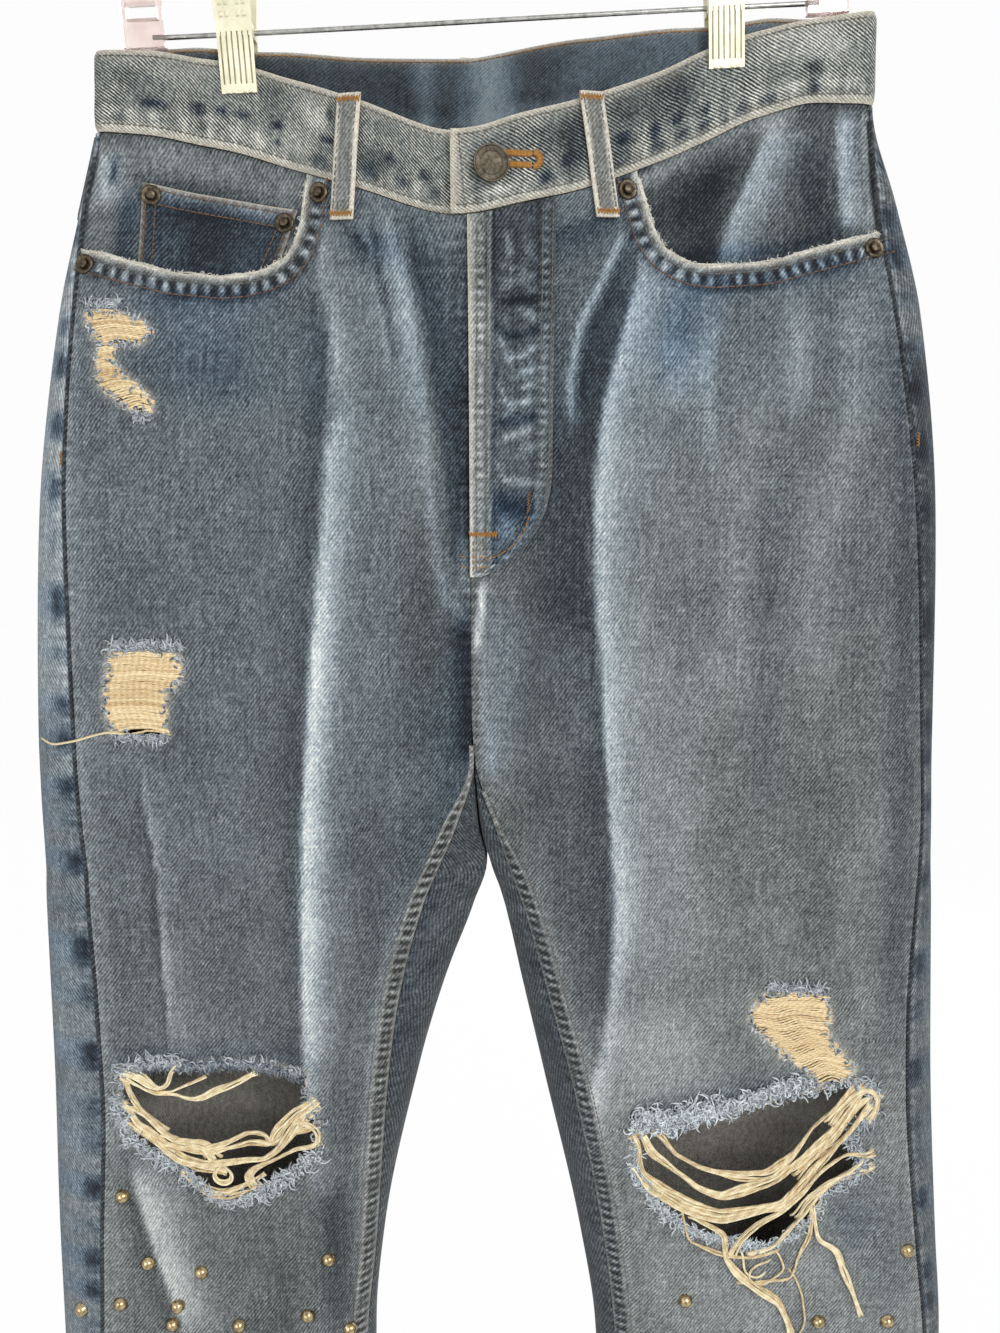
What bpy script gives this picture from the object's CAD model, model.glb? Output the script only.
import math
import bmesh
import bpy
import numpy as np
from mathutils import Matrix, Vector


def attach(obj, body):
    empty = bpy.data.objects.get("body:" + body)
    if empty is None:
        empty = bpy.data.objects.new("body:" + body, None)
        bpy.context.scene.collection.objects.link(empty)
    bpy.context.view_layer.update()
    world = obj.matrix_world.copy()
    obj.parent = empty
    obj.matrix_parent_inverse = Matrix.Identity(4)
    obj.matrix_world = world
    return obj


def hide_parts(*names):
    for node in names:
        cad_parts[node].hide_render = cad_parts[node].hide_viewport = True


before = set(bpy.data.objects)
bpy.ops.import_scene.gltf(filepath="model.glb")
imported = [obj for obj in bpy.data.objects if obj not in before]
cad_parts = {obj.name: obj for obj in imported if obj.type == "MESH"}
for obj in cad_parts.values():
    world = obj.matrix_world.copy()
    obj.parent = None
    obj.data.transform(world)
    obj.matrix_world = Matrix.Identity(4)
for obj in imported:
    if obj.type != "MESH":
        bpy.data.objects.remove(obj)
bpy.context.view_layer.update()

# Ripped straight-leg jeans on a clip hanger. Tables are in millimetres, in the frame of the CAD:
# +Z up, the wearer's front faces -Y, the wearer's right leg is at -X.

mm = 0.001


# The cloth's form: the sections, folds and outlines that the CAD has, its outer folds a little drawn in

def table(columns, rows):
    data = np.array(sorted(rows), float)
    return {name: data[:, k] for k, name in enumerate(columns)}


centre = -6.0
crotch = -525.0
gap = 0.3
hemBottom = -1240.0
hemHeight = 15.0
# how far in from an edge the cloth rounds off, and how far below the band the waist's bow goes
form = {"edgeReach": 46.0, "innerReach": 42.0, "bandReach": 8.0, "waistBlend": 120.0}

# edge: outer fold, seam: side seam, inseam and inner: inside of the leg, wall: how closed it is there
sectionColumns = ("z", "edge", "seam", "inseam", "inner", "wall")
sections = {
    "right": table(sectionColumns, (
        (-160, -184, -182, centre, centre, 1.0),
        (-216, -187, -185, centre, centre, 1.0),
        (-250, -196, -193, centre, centre, 1.0),
        (-300, -209, -198, -6.5, -6.5, 1.0),
        (-400, -225, -206, -7, -7, 1.0),
        (-500, -232, -207, -6.5, -6.5, 1.0),
        (-525, -233, -207, -6.5, -6.2, 0.95),
        (-560, -233.5, -206, -16, -3.8, 0.8),
        (-581, -233.5, -205, -25, 0.6, 0.6),
        (-600, -234.5, -205, -33, -5, 0.45),
        (-650, -235.5, -204, -46, -23, 0.2),
        (-700, -236.5, -204, -53, -37, 0.05),
        (-800, -240, -210, -62, -58, 0.0),
        (-861, -241, -213, -68, -64, 0.0),
        (-1240, -247, -219, -76, -70, 0.0),
    )),
    "left": table(sectionColumns, (
        (-160, 186, 183, centre, centre, 1.0),
        (-204, 187, 185, centre, centre, 1.0),
        (-250, 201, 189, centre, centre, 1.0),
        (-300, 215, 198, -6.5, -6.5, 1.0),
        (-400, 228.5, 214, -7, -7, 1.0),
        (-500, 233, 222, -6.5, -6.5, 1.0),
        (-525, 234, 224, -4.6, -4.6, 0.95),
        (-560, 236, 226, 7, -1.4, 0.8),
        (-581, 237, 226, 14, 3.8, 0.6),
        (-600, 238.5, 225, 21, 10, 0.45),
        (-650, 241.5, 224, 35, 21, 0.2),
        (-700, 244.5, 226, 48, 32, 0.05),
        (-800, 253.5, 238, 67, 54, 0.0),
        (-861, 259.5, 246, 74, 63.5, 0.0),
        (-1240, 273.5, 260, 94, 84, 0.0),
    )),
}
depths = table(("z", "front", "back"), (
    (-160, 24, 22), (-300, 26, 27), (-400, 29, 34), (-531, 31, 33),
    (-650, 29, 29), (-861, 27, 26), (-1240, 26, 25),
))
waistBow = table(("part", "depth"), (
    (0.0, 6.5), (0.06, 7.5), (0.16, 8.5), (0.29, 2.2), (0.47, 2.2), (0.7, 14.0), (1.0, 25.0),
))
bandFront = table(("x", "top", "bottom"), (
    (-188, -180, -216), (-160, -181, -218.5), (-124, -184, -224), (-88, -193.5, -234.5),
    (-62, -203, -243), (-10, -220, -257.5), (17, -212.5, -252), (50, -202.5, -243.5),
    (84, -189, -230), (106, -179, -220.5), (134, -170, -208.5), (160, -166.5, -204), (188, -162, -204),
))
bandBack = table(("x", "top", "bottom"), (
    (-188, -180, -216), (-155, -175.5, -213), (-104, -178.5, -216.5), (-12, -175, -213),
    (48, -168.5, -206), (106, -167.5, -205), (150, -162, -201), (188, -162, -204),
))
yokeSeam = table(("x", "z"), ((-200, -262), (centre, -292), (205, -250)))

# Large soft folds: x at the top, middle and bottom of each, its half width and how far it stands
foldColumns = ("top", "bottom", "xTop", "xMiddle", "xBottom", "halfWidth", "height")
frontFolds = [dict(zip(foldColumns, row)) for row in (
    (-225, -800, -74, -86, -96, 26, 12),
    (-232, -760, 84, 50, 64, 26, 12),
    (-290, -690, -7, -7, -3, 34, -12),
    (-560, -880, -184, -168, -164, 14, -4),
    (-840, -1180, -182, -150, -140, 26, 6),
    (-860, -1200, 150, 170, 176, 34, 6),
    (-480, -700, 118, 128, 132, 30, -3),
)]
backFolds = [dict(zip(foldColumns, row)) for row in (
    (-235, -700, -100, -92, -96, 34, 8),
    (-235, -720, 96, 84, 90, 34, 8),
    (-420, -640, -30, -34, -40, 22, -5),
    (-430, -650, 22, 26, 34, 22, -5),
    (-760, -1150, -150, -158, -150, 30, 6),
    (-780, -1180, 158, 150, 160, 30, 6),
)]

# Smaller creases laid on by hand, as marks. A mark is a line, how far it reaches to the left and to the
# right of it, its amount, the length over which its ends fade, and if need be its blueness and True where it
# runs across. Here the amount is how far the crease stands.
creases = {
    "front": [
        (((-173, -528), (-168, -587), (-168, -624), (-167, -672)), 2.4, 9, 1.1, 40),
        (((-186, -769), (-178, -805), (-167, -850)), 9, 5, 1.5, 40),
        (((-37, -273), (-31, -332), (-26, -392)), 5, 7, 1.2, 36),
        (((-95, -690), (-93, -740), (-92, -800)), 4, 12, 1.6, 40),
        (((78, -276), (64, -318), (56, -352), (53, -430)), 3.5, 14, 1.5, 40),
        (((60, -560), (68, -630), (57, -690), (50, -770)), 4, 14, 1.6, 50),
        (((-118, -300), (-112, -360), (-116, -430)), 12, 14, -1.2, 60),
        (((112, -300), (106, -350), (112, -420)), 11, 12, -1.4, 60),
        (((150, -300), (156, -360), (152, -430)), 12, 12, 1.2, 60),
        (((186, -560), (182, -610), (176, -668)), 10, 7, 1.3, 50),
        (((96, -560), (108, -620), (104, -690)), 14, 10, -1.4, 60),
        (((-138, -860), (-146, -960), (-140, -1090)), 9, 16, 1.8, 90),
        (((-196, -930), (-188, -1010), (-196, -1120)), 10, 9, -1.6, 90),
        (((118, -880), (124, -980), (116, -1100)), 12, 9, -1.6, 90),
        (((214, -900), (206, -1010), (216, -1150)), 12, 9, 1.6, 90),
        (((-24, -540), (-40, -600), (-58, -690)), 7, 6, 1, 50),
        (((22, -560), (40, -640), (58, -740)), 5, 8, 1.1, 50),
    ],
    "back": [
        (((-150, -470), (-118, -482), (-70, -478)), 8, 5, -1.8, 40, 0, True),
        (((60, -478), (104, -486), (150, -474)), 8, 5, -1.8, 40, 0, True),
        (((-190, -600), (-130, -612), (-60, -598)), 9, 6, -1.5, 60, 0, True),
        (((50, -604), (120, -618), (190, -606)), 9, 6, -1.5, 60, 0, True),
        (((-214, -748), (-150, -738), (-86, -752)), 7, 9, 2, 50, 0, True),
        (((-206, -778), (-150, -770), (-96, -782)), 9, 6, -1.8, 50, 0, True),
        (((88, -752), (150, -742), (220, -756)), 7, 9, 2, 50, 0, True),
        (((100, -784), (156, -774), (226, -788)), 9, 6, -1.8, 50, 0, True),
        (((-110, -540), (-122, -640), (-116, -720)), 14, 10, 1.6, 70),
        (((110, -540), (124, -640), (118, -730)), 12, 14, 1.6, 70),
        (((-170, -860), (-178, -980), (-170, -1120)), 10, 14, 1.8, 90),
        (((190, -870), (182, -990), (194, -1120)), 12, 12, 1.8, 90),
    ],
}


def readCurve(knots, values, at):
    # a monotone cubic curve through a short table
    knots = np.asarray(knots, float)
    values = np.asarray(values, float)
    step = np.diff(knots)
    slope = np.diff(values) / step
    both = slope[:-1] * slope[1:]
    total = slope[:-1] + slope[1:]
    tangent = np.zeros(len(knots))
    tangent[0] = slope[0]
    tangent[-1] = slope[-1]
    tangent[1:-1] = np.where(both > 0, 2 * both / np.where(both > 0, total, 1.0), 0.0)
    place = np.clip(at, knots[0], knots[-1])
    k = np.clip(np.searchsorted(knots, place) - 1, 0, len(step) - 1)
    t = (place - knots[k]) / step[k]
    fromLeft = values[k] * (1 + 2 * t) * (1 - t) ** 2 + step[k] * tangent[k] * t * (1 - t) ** 2
    fromRight = values[k + 1] * t ** 2 * (3 - 2 * t) - step[k] * tangent[k + 1] * t ** 2 * (1 - t)
    return fromLeft + fromRight


def ease(t):
    t = np.clip(t, 0, 1)
    return t * t * (3 - 2 * t)


def roundOut(distance, reach):
    left = np.clip(1 - distance / reach, 0, 1)
    return (1 - left ** 2.3) ** (1 / 2.3)


def near(value, at, width):
    # a bell: 1 at a value, gone beyond about twice the width
    return np.exp(-((value - at) / width) ** 2)


def unit(vectors):
    return vectors / np.maximum(np.linalg.norm(vectors, axis=-1, keepdims=True), 1e-9)


def wayAlong(points):
    return np.concatenate([[0], np.cumsum(np.linalg.norm(np.diff(points, axis=0), axis=1))])


def readAlong(points, way, places):
    return np.stack([np.interp(places, way, points[:, k]) for k in range(points.shape[1])], -1)


def section(side, column, z):
    return readCurve(sections[side]["z"], sections[side][column], z)


def bandLine(face, edge, x):
    lines = bandFront if face == "front" else bandBack
    return readCurve(lines["x"], lines[edge], x)


def foldHeight(folds, x, z):
    total = 0.0
    for fold in folds:
        down = np.clip((fold["top"] - z) / (fold["top"] - fold["bottom"]), 0, 1)
        first = fold["xTop"] * (1 - down) * (1 - 2 * down)
        middle = fold["xMiddle"] * 4 * down * (1 - down)
        last = fold["xBottom"] * down * (2 * down - 1)
        aside = (x - first - middle - last) / fold["halfWidth"]
        total = total + fold["height"] * np.sin(np.pi * down) ** 0.7 * np.exp(-aside ** 2)
    return total


def weigh(x, z, line, low, high, amount, taper, blue=0, across=False):
    # a mark's weight: 1 on its line, falling off to each side of it and at its ends
    if across:
        x, z = z, x
        line = [(b, a) for a, b in line]
    route = sorted((b, a) for a, b in line)
    down = np.array([p[0] for p in route], float)
    middle = readCurve(down, [p[1] for p in route], z)
    aside = x - middle
    width = np.where(aside < 0, low, high)
    ends = ease((z - down[0]) / taper + 0.5) * ease((down[-1] - z) / taper + 0.5)
    return near(aside, 0, width) * ends


def laid(x, z, marks):
    # what some marks add up to, and their blueness
    total, blueness = 0.0, 0.0
    for mark in marks:
        weight = weigh(x, z, *mark)
        total = total + mark[3] * weight
        if len(mark) > 5:
            blueness = blueness + mark[5] * weight
    return total, blueness


def relief(face, x, z):
    # small creases and a little unevenness, gone at the waistband
    below = ease((bandLine(face, "bottom", x) - 8 - z) / 60)
    total = 0.45 * np.sin(x / 19 + z / 47) * np.sin(z / 31 - x / 57 + 1.0)
    total = total + 0.3 * np.sin(x / 11 - z / 83 + 2.0) * np.sin(z / 61 + x / 37)
    return (total + laid(x, z, creases[face])[0]) * below


def clothDepth(side, face, x, z):
    edge = section(side, "edge", z)
    inner = section(side, "inner", z)
    wall = section(side, "wall", z)
    part = np.clip((x - edge) / (inner - edge), 0, 1)
    width = np.abs(inner - edge)
    outside = roundOut(part * width, form["edgeReach"])
    closed = wall + (1 - wall) * roundOut((1 - part) * width, form["innerReach"])
    folds = frontFolds if face == "front" else backFolds
    stand = readCurve(depths["z"], depths[face], z) + foldHeight(folds, x, z) + relief(face, x, z)
    body = stand * outside * closed
    bow = readCurve(waistBow["part"], waistBow["depth"], part) * roundOut(part * width, form["bandReach"])
    below = ease((bandLine(face, "bottom", x) - z) / form["waistBlend"])
    return bow * (1 - below) + body * below


def depthAt(face, x, z):
    right = x < section("right", "inner", z)
    return np.where(right, clothDepth("right", face, x, z), clothDepth("left", face, x, z))


def onCloth(face, x, z, lift=0.0):
    # points of the cloth's middle, moved lift outwards, and the cloth's normals there
    x, z, lift = np.broadcast_arrays(np.asarray(x, float), np.asarray(z, float), np.asarray(lift, float))
    sign = -1.0 if face == "front" else 1.0
    y = depthAt(face, x, z)
    across = (depthAt(face, x + 1, z) - depthAt(face, x - 1, z)) / 2
    down = (depthAt(face, x, z + 1) - depthAt(face, x, z - 1)) / 2
    normal = unit(np.stack([-across, np.full_like(x, sign), -down], -1))
    return np.stack([x, sign * y, z], -1) + normal * lift[..., None], normal


# Openings and worn places in the front panels

mouths = {
    "right": ((-84, -225), (-85, -238), (-88, -258), (-91, -269), (-96, -276), (-104, -281),
              (-115, -284), (-126, -285), (-150, -283), (-174, -277), (-195, -271), (-212, -266)),
    "left": ((71, -220), (74, -238), (76, -244), (79, -252), (82, -262), (87, -271), (94, -276),
             (102, -279), (111, -280), (135, -279), (154, -274), (173, -269), (191, -264), (212, -259)),
}
rips = {
    "right": ((-193, -691), (-171, -689), (-158, -689), (-136, -685), (-118, -685), (-95, -687),
              (-94, -697), (-89, -716), (-89, -733), (-103, -744), (-120, -758), (-135, -767),
              (-149, -765), (-160, -752), (-176, -743), (-191, -729), (-194, -713)),
    "left": ((83, -723), (100, -726), (127, -717), (153, -707), (177, -703), (191, -697), (206, -700),
             (206, -714), (193, -730), (205, -749), (183, -761), (179, -776), (163, -789), (155, -794),
             (134, -791), (111, -785), (96, -771), (88, -761), (82, -751), (80, -732)),
}
wornPatches = {
    "right": {
        "hip": ((-190, -302), (-184, -301), (-174, -303), (-164, -307), (-159, -312), (-164, -316),
                (-173, -317), (-178, -319), (-179, -324), (-173, -333), (-167, -337), (-162, -341),
                (-160, -345), (-162, -350), (-168, -348), (-176, -343), (-182, -339), (-185, -333),
                (-185, -325), (-184, -317), (-187, -311), (-190, -306)),
        "thigh": ((-185, -465), (-161, -465), (-150, -469), (-152, -482), (-159, -486), (-160, -499), (-159, -508),
                  (-174, -508), (-186, -506), (-189, -495), (-189, -483), (-186, -472)),
    },
    "left": {
        "knee": ((142, -654), (150, -648), (161, -646), (178, -648), (181, -660), (180, -671), (188, -680),
                 (195, -688), (192, -697), (183, -699), (175, -696), (167, -688), (154, -678), (143, -667),
                 (140, -659)),
    },
}


def resample(points, pitch, closed=False):
    # evenly spaced points along a polyline
    points = np.asarray(points, float)
    if closed:
        points = np.vstack([points, points[:1]])
    way = wayAlong(points)
    count = max(2, int(round(way[-1] / pitch)) + 1)
    places = np.linspace(0, way[-1], count)
    if closed:
        places = places[:-1]
    return readAlong(points, way, places)


def rounded(points, pitch, closed=False, passes=3):
    # the same, with its corners softened
    line = resample(points, pitch, closed)
    for _ in range(passes):
        if closed:
            line = (np.roll(line, 1, 0) + 2 * line + np.roll(line, -1, 0)) / 4
        else:
            line[1:-1] = (line[:-2] + 2 * line[1:-1] + line[2:]) / 4
    return line


def jagged(outline, pitch, amount, seed):
    # an uneven torn edge
    line = resample(outline, pitch, True)
    shake = np.random.default_rng(seed).normal(0, 1, (len(line), 2))
    shake = (shake + 0.6 * np.roll(shake, 1, 0)) / 1.2
    return line + shake * amount


def inside(points, outline):
    x, z = points[..., 0], points[..., 1]
    result = np.zeros(x.shape, bool)
    for (ax, az), (bx, bz) in zip(outline, np.roll(outline, -1, 0)):
        crosses = (az > z) != (bz > z)
        if abs(bz - az) > 1e-9:
            result ^= crosses & (x < (bx - ax) * (z - az) / (bz - az) + ax)
    return result


def nearest(points, line, closed=False):
    # distance to a polyline, how far along it, and the nearest point
    line = np.asarray(line, float)
    if closed:
        line = np.vstack([line, line[:1]])
    shape = points.shape[:-1]
    flat = points.reshape(-1, 2)
    best = np.full(len(flat), 1e9)
    along = np.zeros(len(flat))
    spot = np.zeros((len(flat), 2))
    way = 0.0
    for first, last in zip(line, line[1:]):
        direction = last - first
        length = max(np.linalg.norm(direction), 1e-9)
        t = np.clip(((flat - first) @ direction) / length ** 2, 0, 1)
        place = first + t[:, None] * direction
        distance = np.linalg.norm(flat - place, axis=1)
        nearer = distance < best
        best[nearer] = distance[nearer]
        along[nearer] = way + t[nearer] * length
        spot[nearer] = place[nearer]
        way += length
    return best.reshape(shape), along.reshape(shape), spot.reshape(*shape, 2)


# Mesh making for cloth and yarn

def gridQuads(rows, columns, keep=None, around=False):
    r, c = np.meshgrid(np.arange(rows - 1), np.arange(columns if around else columns - 1), indexing="ij")
    after = (c + 1) % columns
    quads = np.stack([r * columns + c, r * columns + after, (r + 1) * columns + after, (r + 1) * columns + c], -1)
    quads = quads.reshape(-1, 4)
    return quads if keep is None else quads[keep.reshape(-1)]


def newMesh(name, points, faces, materials, attributes, faceMaterials=None):
    mesh = bpy.data.meshes.new(name)
    mesh.from_pydata((np.asarray(points) * mm).tolist(), [], [list(f) for f in faces])
    for material in materials:
        mesh.materials.append(material)
    for key, values in attributes.items():
        layer = mesh.attributes.new(key, "FLOAT_VECTOR", "POINT")
        layer.data.foreach_set("vector", np.ascontiguousarray(values, np.float32).ravel())
    if faceMaterials is not None:
        mesh.polygons.foreach_set("material_index", np.ascontiguousarray(faceMaterials, np.int32))
    mesh.shade_smooth()
    mesh.update()
    piece = bpy.data.objects.new(name, mesh)
    bpy.context.scene.collection.objects.link(piece)
    return piece


def handOver(piece, slot, node=None):
    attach(piece, "root")
    if node:
        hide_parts(node)
    return piece


def clothSolid(name, points, quads, half, materials, **marks):
    # both faces of a cloth and the rim between them, from a sheet of middle points. Each mark is three
    # numbers for every point, or for all of them.
    shape = points.shape[:-1]
    points = points.reshape(-1, 3)
    half = np.broadcast_to(half, shape).reshape(-1)
    corner = points[quads]
    faceNormal = np.cross(corner[:, 2] - corner[:, 0], corner[:, 3] - corner[:, 1])
    middle = corner.mean(1)
    if (faceNormal[:, 1] * np.sign(middle[:, 1])).sum() < 0:
        quads = quads[:, ::-1]
        faceNormal = -faceNormal
    normal = np.zeros_like(points)
    for k in range(4):
        np.add.at(normal, quads[:, k], faceNormal)
    normal = unit(normal)
    used = np.unique(quads)
    number = np.full(len(points), -1)
    number[used] = np.arange(len(used))
    quads = number[quads]
    points, normal, half = points[used], normal[used], half[used]
    count = len(points)
    outer = points + normal * half[:, None]
    inner = points - normal * half[:, None]
    edges = np.concatenate([quads[:, [k, (k + 1) % 4]] for k in range(4)])
    key = edges[:, 0] * count + edges[:, 1]
    reverse = edges[:, 1] * count + edges[:, 0]
    rim = edges[~np.isin(key, reverse)]
    rims = np.stack([rim[:, 1], rim[:, 0], rim[:, 0] + count, rim[:, 1] + count], -1)
    faces = np.concatenate([quads, quads[:, ::-1] + count, rims])
    which = np.concatenate([np.zeros(len(quads)), np.full(len(quads), len(materials) - 1), np.zeros(len(rims))])
    values = {}
    for label, parts in marks.items():
        value = np.stack([np.broadcast_to(part, shape) for part in parts], -1).reshape(-1, 3)[used]
        values[label] = np.concatenate([value, value])
    return newMesh(name, np.concatenate([outer, inner]), faces, materials, values, which)


def tubes(name, paths, radius, sides, material, tag=None):
    # many yarns at once: paths is a list of (points, 3) arrays, radius one number or one each point
    allPoints, allFaces, allTags = [], [], []
    start = 0
    turn = np.linspace(0, 2 * np.pi, sides, endpoint=False)
    for number, path in enumerate(paths):
        path = np.asarray(path, float)
        steps = unit(np.gradient(path, axis=0))
        guide = np.array([0.0, -1.0, 0.0]) if abs(steps[:, 1]).mean() < 0.8 else np.array([1.0, 0.0, 0.0])
        first = unit(np.cross(steps, guide))
        second = np.cross(steps, first)
        r = radius[number] if isinstance(radius, list) else radius
        r = np.broadcast_to(np.asarray(r, float), (len(path),)).copy()
        ring = path[:, None] + r[:, None, None] * (
            first[:, None] * np.cos(turn)[None, :, None] + second[:, None] * np.sin(turn)[None, :, None])
        count = len(path)
        allFaces += (gridQuads(count, sides, around=True) + start).tolist()
        allFaces.append([start + s for s in reversed(range(sides))])
        allFaces.append([start + (count - 1) * sides + s for s in range(sides)])
        allPoints.append(ring.reshape(-1, 3))
        way = wayAlong(path)
        shade = tag[number] if tag is not None else number * 0.618 % 1.0
        turns = np.tile(turn / (2 * np.pi), count)
        allTags.append(np.stack([np.repeat(way, sides), turns, np.full(count * sides, shade)], -1))
        start += count * sides
    return newMesh(name, np.concatenate(allPoints), allFaces, [material], {"yarn": np.concatenate(allTags)})


# Materials

def linear(colour):
    # a colour written as 0 to 255 on a screen
    c = np.asarray(colour, float) / 255
    return tuple(np.where(c <= 0.04045, c / 12.92, ((c + 0.055) / 1.055) ** 2.4)) + (1.0,)


def newMaterial(name, roughness=0.9, metallic=0.0, **sockets):
    material = bpy.data.materials.new(name)
    material.use_nodes = True
    shader = material.node_tree.nodes["Principled BSDF"]
    shader.inputs["Roughness"].default_value = roughness
    shader.inputs["Metallic"].default_value = metallic
    for socket, value in sockets.items():
        shader.inputs[socket.replace("_", " ")].default_value = value
    return material, material.node_tree, shader


def put(tree, socket, value):
    if isinstance(value, bpy.types.NodeSocket):
        tree.links.new(value, socket)
    else:
        socket.default_value = value


def calc(tree, operation, first, second=None, clamp=False):
    step = tree.nodes.new("ShaderNodeMath")
    step.operation = operation
    step.use_clamp = clamp
    for socket, value in zip(step.inputs, (first, second)):
        if value is not None:
            put(tree, socket, value)
    return step.outputs[0]


def plus(tree, first, second, clamp=False):
    return calc(tree, "ADD", first, second, clamp)


def times(tree, first, second, clamp=False):
    return calc(tree, "MULTIPLY", first, second, clamp)


def scaled(tree, vector, factors):
    step = tree.nodes.new("ShaderNodeVectorMath")
    step.operation = "MULTIPLY"
    put(tree, step.inputs[0], vector)
    step.inputs[1].default_value = factors
    return step.outputs[0]


def noise(tree, vector, scale=1.0, detail=2.0, rough=0.55):
    step = tree.nodes.new("ShaderNodeTexNoise")
    put(tree, step.inputs["Vector"], vector)
    step.inputs["Scale"].default_value = scale
    step.inputs["Detail"].default_value = detail
    step.inputs["Roughness"].default_value = rough
    return step.outputs["Fac"]


def centred(tree, value, amount):
    # a noise around a half, made a number around nought
    return times(tree, calc(tree, "SUBTRACT", value, 0.5), amount)


def attribute(tree, name):
    step = tree.nodes.new("ShaderNodeAttribute")
    step.attribute_name = name
    parts = tree.nodes.new("ShaderNodeSeparateXYZ")
    tree.links.new(step.outputs["Vector"], parts.inputs[0])
    return step.outputs["Vector"], parts.outputs


def blendColour(tree, factor, first, second):
    step = tree.nodes.new("ShaderNodeMix")
    step.data_type = "RGBA"
    put(tree, step.inputs[0], factor)
    put(tree, step.inputs[6], first)
    put(tree, step.inputs[7], second)
    return step.outputs[2]


def ramp(tree, factor, stops):
    step = tree.nodes.new("ShaderNodeValToRGB")
    put(tree, step.inputs[0], factor)
    marks = step.color_ramp.elements
    while len(marks) < len(stops):
        marks.new(0.5)
    for mark, (place, colour) in zip(marks, stops):
        mark.position = place
        mark.color = linear(colour)
    return step.outputs[0]


def bumpTo(tree, shader, height):
    step = tree.nodes.new("ShaderNodeBump")
    step.inputs["Strength"].default_value = 1.0
    step.inputs["Distance"].default_value = mm
    put(tree, step.inputs["Height"], height)
    tree.links.new(step.outputs[0], shader.inputs["Normal"])


denimStops = (
    (0.0, (12, 13, 16)), (0.1, (27, 29, 31)), (0.2, (48, 51, 52)), (0.3, (72, 76, 75)), (0.4, (97, 101, 99)),
    (0.5, (122, 126, 125)), (0.6, (147, 151, 151)), (0.7, (173, 177, 177)), (0.8, (199, 203, 199)),
    (0.9, (226, 227, 218)), (1.0, (246, 243, 231)),
)
bandStops = (
    (0.0, (12, 14, 18)), (0.1, (26, 30, 34)), (0.2, (47, 53, 56)), (0.3, (71, 78, 78)), (0.4, (96, 103, 101)),
    (0.5, (122, 128, 125)), (0.6, (150, 153, 147)), (0.7, (179, 180, 171)), (0.8, (207, 204, 192)),
    (1.0, (246, 243, 231)),
)
blueStops = (
    (0.0, (4, 12, 24)), (0.1, (14, 27, 41)), (0.2, (31, 48, 65)), (0.3, (53, 73, 93)), (0.4, (78, 99, 118)),
    (0.5, (105, 126, 144)), (0.6, (133, 152, 168)), (0.7, (163, 180, 192)), (0.8, (194, 206, 212)),
    (0.9, (224, 228, 228)), (1.0, (244, 244, 240)),
)
reverseStops = (
    (0.0, (50, 46, 40)), (0.3, (106, 99, 88)), (0.5, (152, 144, 129)), (0.7, (190, 182, 166)), (1.0, (226, 220, 204)),
)
wornStops = ((0.0, (146, 139, 124)), (0.45, (222, 213, 194)), (1.0, (255, 249, 234)))

denimLook = {
    "warp": 1.95,  # mm between the twill's diagonals, across
    "weft": -2.7,  # and down
    "twill": 0.16,
    "speckle": 0.33,
    "grain": 0.20,
    "streak": 0.15,
    "cloud": 0.12,
    "ladder": 0.075,
    "ladderPitch": 6.4,
    "ladderReach": 5.0,
    "edge": 1.2,  # mm of worn cut or folded edge
    "bump": 0.10,
}


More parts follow.
